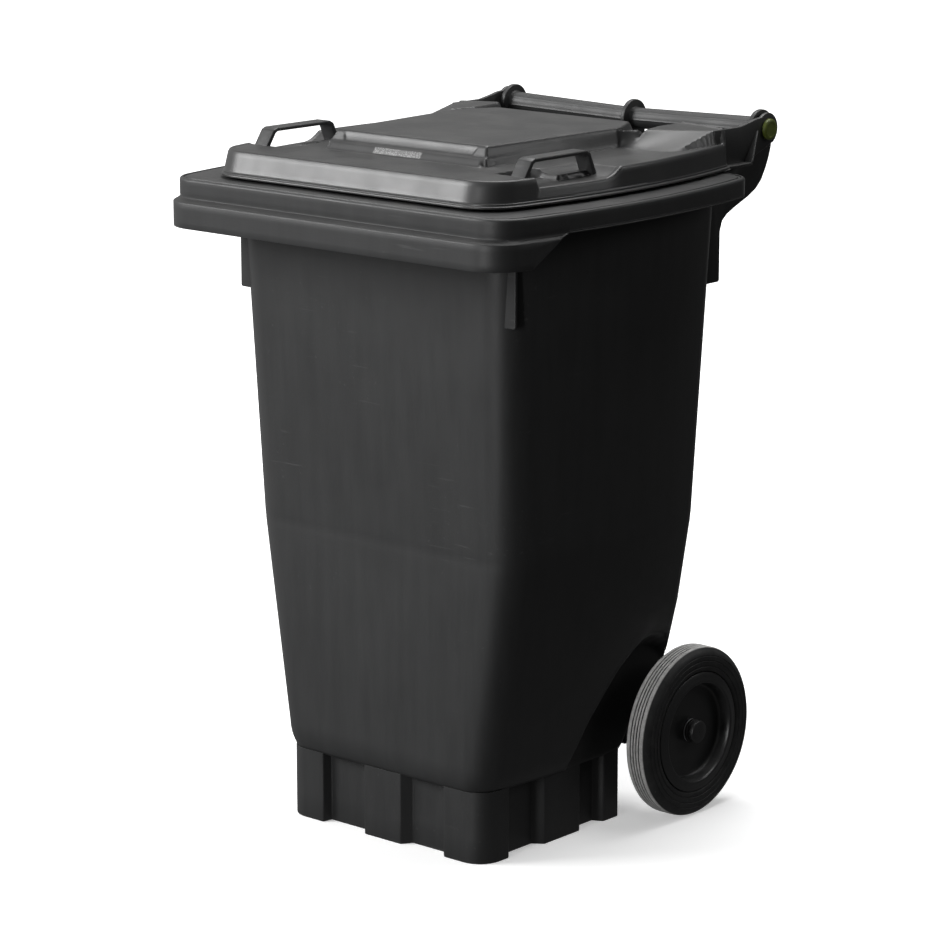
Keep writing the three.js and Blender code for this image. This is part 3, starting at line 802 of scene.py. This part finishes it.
def lid_shell():
    sampling = lid_sampling()

    def lid_outline(plan_z, inset):
        t = (plan_z - 754) / (779.6 - 754)
        plan = [low + (high - low) * t for low, high in zip(LID_LOW, LID_HIGH)]
        return outline(plan, inset, sampling)

    def ring(plan_z, inset, z):
        return level(lid_outline(plan_z, inset), z)

    shoulder = lid_outline(779, 5.0).T
    top = lid_top(*shoulder)
    under = np.minimum(lid_under(*shoulder), top - LID_WALL)
    grid_edge = lid_outline(779, 7.4)

    # inside, from the grid's edge down to the rim
    rings = [level(grid_edge, np.minimum(lid_under(*grid_edge.T), under)),
             ring(779, 5.2, under - 0.4), ring(778, 3.9, under - 1.8)]
    for s in (0.66, 0.33):
        rings.append(ring(756 + 20 * s, 3.6, 755.5 + (under - 1.8 - 755.5) * s))
    # round the foot and its flange: inset, z
    foot = [(3.4, 755.5), (3.2, 751.4), (2.6, 750.6), (1.4, LID_BOTTOM), (-1.4, LID_BOTTOM),
            (-2.1, 750.7), (-2.35, 751.5), (-2.2, 752.6), (-1.6, 753.2), (-0.35, 753.6),
            (-0.15, 754.4), (-0.15, 755.3)]
    rings += [ring(754, inset, z) for inset, z in foot]
    rings.append(ring(755, 0.35, 755.9))
    # outer wall, then over the rounded shoulder onto the top
    wall_foot, wall_top = 757.5, top - 2.2
    for s in (0.0, 0.2, 0.4, 0.6, 0.8, 1.0):
        z = wall_foot + (wall_top - wall_foot) * s
        rings.append(ring(wall_foot + (776.8 - wall_foot) * s, 0.3, z))
    for turn in quarter_turn(6)[1:]:
        inset = 0.3 + 2.9 * (1 - math.cos(turn))
        rings.append(ring(779, inset, wall_top + 3.3 * math.sin(turn)))
    for inset, rise in ((4.2, 0.95), (5.4, 0.5), (6.4, 0.12)):
        rings.append(ring(779, inset, top + rise))
    rings.append(level(grid_edge, lid_top(*grid_edge.T)))

    build = Build()
    rings = build.loft(rings)
    build.fill(rings[0], sampling, lid_under, up=False)
    build.fill(rings[-1], sampling, lid_top, up=True)
    return build.mesh("lid_visual", angle=38)


def hinge_ears():
    # y, z, corner radius
    profile = [(209, LID_BOTTOM, 0), (268, LID_BOTTOM, 4), (276, 754, 18), (312, 767.6, 0)]
    profile += arc(HINGE_Y, HINGE_Z, EAR_RADIUS, -55, 128, 40)
    profile += [(289, 800.6, 14), (274, 797.5, 20), (257, 794.6, 20), (209, 794.6, 0)]
    return both_sides(plate("ear", fillet(profile, 6), EAR_IN, EAR_OUT, 1.0))


def ear_webs():
    """Leaning web between the ear and the flange."""
    # x, z, corner radius
    profile = fillet([
        (EAR_OUT - 1.5, 751, 0), (EAR_OUT + 10.3, 751, 0.8), (EAR_OUT + 9.7, 755.5, 1.5),
        (EAR_OUT + 0.5, 787, 0.6), (EAR_OUT - 1.5, 787, 0)], 4)
    foot_y = 264
    lean = (288 - foot_y) / (786 - LID_BOTTOM)

    def shear(points):
        points[:, 1] += foot_y + (points[:, 2] - LID_BOTTOM) * lean
        return points

    return both_sides(plate("web", profile, 0, 3.4, 0.7, "y", shear))


def ear_flanges():
    """Flange carried back to the web."""
    # x, y, corner radius
    profile = fillet([
        (EAR_OUT - 1.5, 224, 0), (206.2, 224, 0), (207.2, 240, 10),
        (EAR_OUT + 10.3, 268.4, 2), (EAR_OUT - 1.5, 268.4, 0)], 5)
    return both_sides(plate("flange", profile, LID_BOTTOM, 753.5, 0.7, "z"))


def finger_loops():
    # y, z, corner radius: over the loop, then back along its inside
    profile = fillet([
        (-127.6, 776, 0), (-114.2, 795.0, 5), (-108.6, 797.2, 5), (-22, 797.0, 6),
        (-15.6, 793.6, 7), (-4.6, 770.2, 0),
        (-10.8, 769.2, 0), (-19.8, 790.6, 4), (-23.8, 792.8, 4), (-107.4, 793.0, 3),
        (-110.8, 791.2, 3), (-121.6, 775.4, 0)], 6)
    return both_sides(plate("loop", profile, 180.2, 200.2, 1.1))


# ---------------------------------------------------------------- turned parts
# Profiles are (radius, x) on the right-hand side of the bin.
def from_x(start, points):
    """Profile points whose x is measured from start."""
    return [(radius, start + x) for radius, x in points]


def tread_groove(x, width=1.5, depth=2.0):
    half = width / 2
    right = [(TREAD_RADIUS, half + 0.7), (TREAD_RADIUS - 0.35, half + 0.12),
             (TREAD_RADIUS - depth, half - 0.35)]
    return from_x(x, right + [(radius, -away) for radius, away in right[::-1]])


def tyre_profile():
    # ribbed outer sidewall
    profile = from_x(WHEEL_OUT, [
        (71.4, -2.6), (72.2, -1.5), (73.6, -0.9), (75.8, -0.5), (76.6, -0.5), (77.2, -1.1),
        (78.2, -1.1), (78.8, -0.45), (82.5, -0.15), (83.2, -0.15), (83.7, -0.6), (84.5, -0.6),
        (85.0, -0.1), (88.4, -0.3), (89.0, -0.35), (89.5, -0.85), (90.3, -0.95),
        (90.8, -0.55), (93.2, -1.2), (95.2, -2.2), (96.2, -3.1), (96.9, -3.6), (97.4, -4.2),
        (98.6, -5.0), (99.4, -6.0), (99.8, -7.2)])
    for inward in (11.0, 15.0, 19.0, 23.0):
        profile += tread_groove(WHEEL_OUT - inward)
    # inner sidewall, then the seat on the rim
    profile += from_x(WHEEL_IN, [
        (99.8, 7.2), (99.4, 6.0), (98.6, 5.0), (97.4, 4.0), (95.2, 2.2), (92, 1.0), (84, 0.3),
        (76, 1.6), (72.6, 3.6), (72.3, 4.4), (72.3, 9.2), (67.3, 12.3)])
    return profile + from_x(WHEEL_OUT, [(67.3, -9.3), (71.3, -6.4)])


def wheel_profile():
    # hub end, inner face of the disc, inner flange, outer flange, outer face of the disc
    return (
        from_x(HUB_IN, [(BORE, 0.8), (8.1, 0), (16.2, 0), (17, 0.8)])
        + from_x(DISC_X, [(17.6, -8), (19, -6.4), (50, -6.2), (53, -7.4)])
        + from_x(WHEEL_IN, [(54.6, 5.6), (55.6, 4.4), (57, 4), (70.6, 4), (71.7, 4.8),
                            (71.9, 8.6), (67.0, 12.0)])
        + from_x(WHEEL_OUT, [
            (67.0, -9.0), (70.9, -6.2), (70.9, -2.4), (70.4, -1.3), (69.2, -0.7), (66, -0.1),
            (63, 0.7), (61, 1.25), (59.8, 1.4), (58.8, 1.15), (58.1, 0.4), (57.6, -0.8),
            (57.0, -4), (56.4, -8), (55.8, -11), (55.2, -12.2), (54.2, -13.0),
            (52.8, -13.4)])
        + from_x(DISC_X, [(51, 0), (30, 0.1), (16.6, 0.1), (16, 0), (8.1, 0), (BORE, -0.6)]))


PIN_HEAD_X = EAR_OUT + 0.35
WASHER_X = DISC_X + 0.3
CAP_X = WASHER_X + 1.9
AXLE_END = CAP_X + 6.4
PIN = [(0, 160), (3.6, 160), (4.6, 160.4), (6.6, 162.6), (7, 163.4)] + from_x(PIN_HEAD_X, [
    (7, -0.05), (11.4, 0), (12.2, 0.5), (12.2, 2.6), (11.9, 3.5), (11.2, 4.2), (10.0, 4.6),
    (8.6, 4.65), (8.2, 4.35), (7.6, 4.3), (0, 4.3)])
WASHER = from_x(WASHER_X, [(BORE, 0), (13.2, 0), (13.5, 0.3), (13.5, 1.3), (13.2, 1.6),
                           (7.6, 1.6), (BORE, 1.3)])
CAP = from_x(CAP_X, [
    (BORE, 0.01), (13.0, 0.01), (13.5, 0.5), (13.5, 3.2), (13.1, 3.7), (12.5, 3.9),
    (12.4, 4.5), (13.0, 4.8), (13.4, 5.3), (13.4, 10.2), (13.0, 11.1), (12.2, 11.6),
    (6, 11.75), (0.6, 11.8), (0.6, 8.0), (BORE, 7.9)])
SPACER = [(BORE, 142.4), (11.0, 142.4), (11.5, 142.9), (11.5, 159.5), (11.0, 160.0),
          (BORE, 160.0)]
AXLE_BAR = [(0, -AXLE_END), (AXLE_RADIUS - 0.8, -AXLE_END), (AXLE_RADIUS, -AXLE_END + 0.8),
            (AXLE_RADIUS, AXLE_END - 0.8), (AXLE_RADIUS - 0.8, AXLE_END), (0, AXLE_END)]
# object, CAD piece, body it rides on, slot, centre, profile, segments, smoothing angle;
# {} stands for the side
SIDE_PARTS = [
    ("hinge_pin_head_{}", "hinge_pin_{}", "bin", "pin_plastic", HINGE, PIN, 72, 32),
    ("tyre_ribbed_{}", "tyre_{}", "wheel_{}", "tyre_rubber", AXLE, tyre_profile(), 176, 40),
    ("wheel_disc_{}", "wheel_rim_{}", "wheel_{}", "wheel_plastic", AXLE, wheel_profile(),
     144, 38),
    ("plain_washer_{}", "washer_{}", "axle_set", "plated_steel", AXLE, WASHER, 64, 32),
    ("hub_cap_{}", "axle_cap_{}", "axle_set", "cap_plastic", AXLE, CAP, 72, 32),
    ("spacer_tube_{}", "spacer_{}", "axle_set", "cap_plastic", AXLE, SPACER, 64, 32),
]


# ---------------------------------------------------------------- shader graphs
class Graph:
    """Short ways to add nodes to a tree; a value may be a number or another node's output."""

    def __init__(self, tree):
        self.tree = tree
        tree.nodes.clear()

    def node(self, kind, inputs=None, **settings):
        node = self.tree.nodes.new(kind)
        for key, value in settings.items():
            setattr(node, key, value)
        for key, value in (inputs or {}).items():
            if isinstance(value, bpy.types.NodeSocket):
                self.tree.links.new(value, node.inputs[key])
            else:
                node.inputs[key].default_value = value
        return node

    @cached_property
    def geometry(self):
        return self.node("ShaderNodeNewGeometry").outputs

    @cached_property
    def coordinates(self):
        return self.node("ShaderNodeTexCoord").outputs

    def mapping(self, stretch=(1, 1, 1), offset=(0, 0, 0), turn=(0, 0, 0)):
        return self.node("ShaderNodeMapping", {
            "Vector": self.coordinates["Object"], "Scale": stretch, "Location": offset,
            "Rotation": turn}).outputs[0]

    def noise(self, scale, detail, rough, **mapping):
        return self.node("ShaderNodeTexNoise", {
            "Vector": self.mapping(**mapping), "Scale": scale, "Detail": detail,
            "Roughness": rough}).outputs["Fac"]

    def cells(self, scale, **mapping):
        return self.node("ShaderNodeTexVoronoi", {
            "Vector": self.mapping(**mapping), "Scale": scale}).outputs["Distance"]

    def math(self, operation, a, b=0.0, clamp=False):
        return self.node("ShaderNodeMath", {0: a, 1: b}, operation=operation,
                         use_clamp=clamp).outputs[0]

    def add(self, a, b):
        return self.math("ADD", a, b)

    def times(self, a, b):
        return self.math("MULTIPLY", a, b)

    def length(self, a, b):
        return self.math("SQRT", self.add(self.times(a, a), self.times(b, b)))

    def remap(self, value, between, to=(0, 1), smooth=False):
        return self.node("ShaderNodeMapRange", {
            "Value": value, "From Min": between[0], "From Max": between[1],
            "To Min": to[0], "To Max": to[1],
        }, interpolation_type="SMOOTHSTEP" if smooth else "LINEAR").outputs[0]

    def mix(self, share, first, second):
        """Colour mix; share 1 gives the second."""
        first, second = [(*color, 1) if isinstance(color, tuple) else color
                         for color in (first, second)]
        return self.node("ShaderNodeMix", {0: share, 6: first, 7: second},
                         data_type="RGBA").outputs[2]

    def dot(self, a, b):
        return self.node("ShaderNodeVectorMath", {0: a, 1: b},
                         operation="DOT_PRODUCT").outputs["Value"]

    def split(self, vector):
        return self.node("ShaderNodeSeparateXYZ", {0: vector}).outputs

    def edge(self, radius, worn, flat):
        """1 on edges, where the face normal and a rounded one differ; worn and flat are
        the agreements of the two that give 1 and 0."""
        rounded = self.node("ShaderNodeBevel", {"Radius": radius}, samples=2).outputs[0]
        return self.remap(self.dot(rounded, self.geometry["Normal"]), (flat, worn), smooth=True)

    def finish(self, color, roughness, bumps, specular=0.5, metallic=0.0):
        """Surface shader; bumps are (height, distance in metres, strength)."""
        inputs = {"Base Color": color, "Roughness": roughness, "Metallic": metallic,
                  "Specular IOR Level": specular, "Coat Roughness": 0.2}
        for height, distance, strength in bumps:
            under = {"Normal": inputs["Normal"]} if "Normal" in inputs else {}
            inputs["Normal"] = self.node("ShaderNodeBump", {
                "Height": height, "Distance": distance, "Strength": strength, **under,
            }).outputs[0]
        self.output(self.node("ShaderNodeBsdfPrincipled", inputs).outputs[0])

    def output(self, shader, kind="ShaderNodeOutputMaterial"):
        self.node(kind, {"Surface": shader})

    def for_camera(self, seen, others):
        """One shader as the camera sees it, another for all other rays."""
        camera_ray = self.node("ShaderNodeLightPath").outputs["Is Camera Ray"]
        return self.node("ShaderNodeMixShader", {0: camera_ray, 1: others, 2: seen}).outputs[0]


def new_material(name):
    material = bpy.data.materials.new(name)
    material.use_nodes = True
    return material, Graph(material.node_tree)


# ---------------------------------------------------------------- materials
def knurled_inlay(g, color):
    """Lighter dotted plastic on the raised inlay of the lid's front tier."""
    x, y = g.split(g.coordinates["Object"])[:2]
    middle = (-95.8 + SHIFT_Y) / 1000
    inner, outer = 0.0022, 0.0026       # half depth where it is full, and where it ends
    across = g.times(g.remap(x, (-0.0446, -0.0436)), g.remap(x, (0.0252, 0.0262), to=(1, 0)))
    along = g.times(g.remap(y, (middle - outer, middle - inner)),
                    g.remap(y, (middle + inner, middle + outer), to=(1, 0)))
    pale, dark = (0.34, 0.34, 0.335), (0.12, 0.12, 0.12)
    dots = g.mix(g.remap(g.cells(scale=560), (0.1, 0.6)), pale, dark)
    return g.mix(g.times(across, along), color, dots)


def polyethylene(name, dark, light, *, roughness, grain, streak, specular, seed, inlay=False):
    """Injection moulded polyethylene: fine grain, flow marks down the walls, mottled
    sheen, scuffed edges. grain and streak scale the relief of the grain and flow marks."""
    material, g = new_material(name)
    broad = g.noise(scale=3.2, detail=4, rough=0.55, offset=(seed, seed * 2, seed * 3))
    mottle = g.noise(scale=23, detail=5, rough=0.6, offset=(seed, 1, 2))
    flow = g.noise(scale=62, detail=4, rough=0.62, stretch=(1, 1, 0.09), offset=(seed, 0, 0))
    fine = g.noise(scale=1500, detail=2, rough=0.6)
    pebble = g.noise(scale=420, detail=3, rough=0.55, offset=(3, 1, seed))

    # hairline scratches, stretched two ways and kept to patches
    scratch_a = g.noise(scale=330, detail=2, rough=0.4, stretch=(0.05, 1, 1),
                        turn=(0.2, 0.5, 0.35))
    scratch_b = g.noise(scale=260, detail=2, rough=0.4, stretch=(1, 0.06, 1),
                        turn=(0.6, 0.1, -0.5))
    patches = g.noise(scale=9, detail=3, rough=0.5, offset=(7, seed, 1))
    lines = g.math("MAXIMUM", g.remap(scratch_a, (0.69, 0.74)), g.remap(scratch_b, (0.70, 0.75)))
    scratches = g.times(lines, g.remap(patches, (0.5, 0.62), smooth=True))

    edge = g.edge(radius=0.0016, worn=0.80, flat=0.985)
    wear = g.math("MULTIPLY", edge,
                  g.remap(mottle, (0.38, 0.62), to=(0.15, 1.0), smooth=True), clamp=True)
    up = g.split(g.geometry["Normal"])[2]
    dust = g.times(g.remap(up, (0.5, 1.0), smooth=True),
                   g.remap(mottle, (0.35, 0.7), to=(0.25, 1.0), smooth=True))

    # colour: tone between dark and light, then shares of the wear, scratch and dust tints
    tone = g.add(g.times(g.remap(broad, (0.3, 0.7)), 0.55),
                 g.times(g.remap(flow, (0.35, 0.65)), 0.45 * streak))
    wear_tint = tuple(value * 3.2 + 0.01 for value in light)
    scratch_tint = tuple(value * 3.0 + 0.015 for value in light)
    color = g.mix(tone, dark, light)
    color = g.mix(g.times(wear, 0.35), color, wear_tint)
    color = g.mix(g.times(scratches, 0.22), color, scratch_tint)
    color = g.mix(g.times(dust, 0.05), color, (0.30, 0.29, 0.27))
    if inlay:
        color = knurled_inlay(g, color)

    # roughness: scratches and dust dull it, wear polishes it
    rough = g.add(g.remap(mottle, (0.3, 0.7), to=(roughness - 0.035, roughness + 0.045)),
                  g.times(g.remap(flow, (0.4, 0.62)), 0.03 * streak))
    rough = g.add(rough, g.times(scratches, 0.18))
    rough = g.add(rough, g.times(dust, 0.05))
    rough = g.math("SUBTRACT", rough, g.times(wear, 0.06))
    g.finish(color, rough, specular=specular, bumps=[
        (flow, 0.00035 * streak, 0.35), (pebble, 0.00012, grain), (fine, 0.00004, grain)])
    return material


def green_pin_plastic():
    material, g = new_material("pin_green")
    mottle = g.noise(scale=120, detail=4, rough=0.6)
    fine = g.noise(scale=900, detail=2, rough=0.5)
    edge = g.edge(radius=0.0010, worn=0.8, flat=0.98)
    dark, light, worn = (0.075, 0.098, 0.012), (0.115, 0.145, 0.022), (0.26, 0.29, 0.10)
    color = g.mix(g.remap(mottle, (0.35, 0.65)), dark, light)
    color = g.mix(g.times(edge, 0.4), color, worn)
    g.finish(color, g.remap(mottle, (0.3, 0.7), to=(0.34, 0.48)),
             bumps=[(mottle, 0.0002, 0.3), (fine, 0.00005, 0.5)])
    return material


def plated_steel():
    """Zinc plate with turning marks, clouding and a few brown spots."""
    material, g = new_material("plated_steel")
    turning = g.noise(scale=2400, detail=2, rough=0.5, stretch=(1, 0.03, 0.03))
    cloud = g.noise(scale=60, detail=5, rough=0.6)
    spots = g.remap(g.noise(scale=210, detail=3, rough=0.5, offset=(2, 2, 2)), (0.64, 0.72))
    dark, light, brown = (0.42, 0.43, 0.44), (0.62, 0.63, 0.64), (0.22, 0.18, 0.14)
    color = g.mix(g.remap(cloud, (0.35, 0.65)), dark, light)
    color = g.mix(g.times(spots, 0.5), color, brown)
    g.finish(color, g.remap(cloud, (0.3, 0.7), to=(0.26, 0.44)), metallic=1.0,
             bumps=[(turning, 0.00003, 0.5)])
    return material


def tyre_rubber():
    """Dark sidewall; pale tread, part dust and part painted light."""
    material, g = new_material("tyre_rubber")
    y, z = g.split(g.coordinates["Object"])[1:3]
    radius = g.length(g.math("SUBTRACT", y, AXLE_FRAME_Y / 1000),
                      g.math("SUBTRACT", z, AXLE_Z / 1000))
    rub = g.noise(scale=160, detail=5, rough=0.65)
    fine = g.noise(scale=1300, detail=3, rough=0.6)
    blotch = g.noise(scale=28, detail=4, rough=0.6, offset=(4, 4, 4))
    film = g.noise(scale=75, detail=5, rough=0.7, offset=(9, 1, 1))
    tread = g.remap(radius, (0.0984, 0.0996), smooth=True)
    grit = g.add(g.times(rub, 0.6), g.times(fine, 0.4))
    # pale tread mask: part dust, part painted light standing in for the front light on the tread
    tread_dust_and_painted_light = g.times(tread, g.remap(grit, (0.33, 0.60), to=(0.55, 1.0)))
    specks = g.times(g.remap(g.cells(scale=150, offset=(1, 5, 2)), (0.10, 0.05)),
                     g.remap(blotch, (0.5, 0.62)))
    dark, light = (0.0145, 0.0147, 0.015), (0.0235, 0.0237, 0.024)
    color = g.mix(g.remap(blotch, (0.35, 0.65)), dark, light)
    color = g.mix(g.times(specks, 0.6), color, (0.16, 0.155, 0.15))
    color = g.mix(g.remap(film, (0.5, 0.75), to=(0, 0.12)), color, (0.13, 0.125, 0.12))
    # pale tread colour: part dust and part painted light, lighter than dusty rubber would be
    color = g.mix(tread_dust_and_painted_light, color, (0.56, 0.555, 0.545))
    rough = g.add(g.remap(rub, (0.3, 0.7), to=(0.44, 0.60)), g.times(tread, 0.3))
    g.finish(color, rough, specular=0.4, bumps=[(rub, 0.0003, 0.35), (fine, 0.00008, 0.6)])
    return material


# by material slot
MATERIALS = {
    "body_plastic": polyethylene(
        "body_polyethylene", dark=(0.019, 0.0193, 0.0197), light=(0.027, 0.0274, 0.0278),
        roughness=0.46, grain=0.55, streak=1.0, specular=0.42, seed=1.7),
    "lid_plastic": polyethylene(
        "lid_polyethylene", dark=(0.024, 0.0242, 0.0246), light=(0.033, 0.0333, 0.0336),
        roughness=0.36, grain=0.40, streak=0.45, specular=0.5, seed=4.1, inlay=True),
    "cap_plastic": polyethylene(
        "cap_plastic", dark=(0.018, 0.018, 0.0185), light=(0.024, 0.024, 0.0245),
        roughness=0.42, grain=0.45, streak=0.2, specular=0.45, seed=9.3),
    "wheel_plastic": polyethylene(
        "wheel_plastic", dark=(0.016, 0.0162, 0.0166), light=(0.024, 0.0243, 0.0246),
        roughness=0.33, grain=0.35, streak=0.2, specular=0.5, seed=12.9),
    "pin_plastic": green_pin_plastic(),
    "plated_steel": plated_steel(),
    "tyre_rubber": tyre_rubber(),
}


# ---------------------------------------------------------------- assembly
def put(ob, name, body, slot, *replaced):
    ob.name = name
    ob.data.name = name
    ob.data.materials.append(MATERIALS[slot])
    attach(ob, body)
    if replaced:
        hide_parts(*replaced)


def put_numbered(parts, prefix, body, slot):
    for i, ob in enumerate(parts):
        put(ob, f"{prefix}_{ob.name.split('.')[0]}_{i:02d}", body, slot)


def assemble():
    put(body_shell(), "body", "bin", "body_plastic", "bin_body")
    put(skirt(), "skirt", "bin", "body_plastic")
    put_numbered(all_body_parts(), "body", "bin", "body_plastic")
    put(lid_shell(), "lid_moulding", "lid", "lid_plastic", "lid")
    lid_parts = hinge_ears() + ear_webs() + ear_flanges() + finger_loops()
    put_numbered(lid_parts, "lid", "lid", "lid_plastic")
    for side, mirror in (("right", False), ("left", True)):
        for name, replaced, body, slot, centre, profile, segments, angle in SIDE_PARTS:
            ob = lathe("turned", profile, centre, segments, mirror, angle)
            put(ob, name.format(side), body.format(side), slot, replaced.format(side))
    put(lathe("turned", AXLE_BAR, AXLE, 64), "axle_bar", "axle_set", "plated_steel", "axle")


# ---------------------------------------------------------------- floor, light, camera
def pale_floor_material():
    material, g = new_material("floor_pale")
    white = (1, 1, 1, 1)
    # to the camera: white, glowing more with distance from the middle
    x, y = g.split(g.geometry["Position"])[:2]
    glow = g.remap(g.length(x, y), (0.9, 2.2), to=(0.35, 1.2), smooth=True)
    diffuse = g.node("ShaderNodeBsdfDiffuse", {"Color": (0.92, 0.92, 0.92, 1)}).outputs[0]
    glowing = g.node("ShaderNodeEmission", {"Color": white, "Strength": glow}).outputs[0]
    seen = g.node("ShaderNodeAddShader", {0: diffuse, 1: glowing}).outputs[0]
    # the bin sees a darker floor towards its right, so that its side falls into shade
    x = g.split(g.geometry["Position"])[0]
    shade = g.remap(x, (-1.6, 0.9), to=(0.42, 0.03), smooth=True)
    shaded = g.node("ShaderNodeEmission", {"Strength": shade}).outputs[0]
    g.output(g.for_camera(seen, others=shaded))
    return material


def add_floor():
    half = 30.0
    mesh = bpy.data.meshes.new("floor")
    corners = [(-half, -half, 0), (half, -half, 0), (half, half, 0), (-half, half, 0)]
    mesh.from_pydata(corners, [], [(0, 1, 2, 3)])
    add_object("floor", mesh)
    mesh.materials.append(pale_floor_material())


def add_world():
    """White to the camera; for lighting, a soft glow from the front left."""
    world = bpy.data.worlds.new("studio")
    scene.world = world
    world.use_nodes = True
    g = Graph(world.node_tree)
    brightest = Vector((-0.80, -0.50, 0.33)).normalized()
    facing = g.dot(g.coordinates["Generated"], brightest)
    strength = g.remap(facing, (-0.35, 0.95), to=(0.05, 0.70), smooth=True)
    glow = g.node("ShaderNodeBackground", {"Strength": strength}).outputs[0]
    white = g.node("ShaderNodeBackground", {"Color": (1, 1, 1, 1), "Strength": 1.0}).outputs[0]
    g.output(g.for_camera(white, others=glow), "ShaderNodeOutputWorld")


def area_light(name, place, target, size, power):
    light = bpy.data.lights.new(name, "AREA")
    light.shape = "RECTANGLE"
    light.size, light.size_y = size
    light.energy = power
    ob = add_object(name, light)
    ob.location = place
    aim = Vector(target) - Vector(place)
    ob.rotation_euler = aim.to_track_quat("-Z", "Y").to_euler()


def add_lights():
    area_light("key", place=(-2.6, -2.7, 2.3), target=(0, 0, 0.45), size=(1.8, 1.8), power=150)
    area_light("top", place=(-0.2, 0.9, 3.4), target=(0, 0, 0.4), size=(2.6, 2.0), power=95)
    area_light("front_strip", place=(0.55, -3.6, 0.8), target=(0.15, 0, 0.4),
               size=(0.35, 1.8), power=42)
    area_light("rear_rim", place=(2.6, 2.6, 2.2), target=(0, 0.1, 0.6), size=(0.8, 1.2),
               power=14)


def add_camera():
    """Looks from the front right, a little above the bin."""
    camera = bpy.data.cameras.new("camera")
    ob = add_object("camera", camera)
    around, above, distance = math.radians(40.998), math.radians(13.0894), 4.044815
    target = Vector((0.020847, SHIFT_Y / 1000, 0.40612))
    towards_camera = Vector((math.sin(around) * math.cos(above),
                             -math.cos(around) * math.cos(above), math.sin(above)))
    ob.location = target + towards_camera * distance
    ob.rotation_euler = (math.radians(90) - above, 0, around)
    camera.sensor_width = 36
    camera.lens = 134.38458947
    camera.clip_start, camera.clip_end = 0.1, 100
    scene.camera = ob
    scene.view_settings.view_transform = "Standard"


assemble()
add_floor()
add_world()
add_lights()
add_camera()
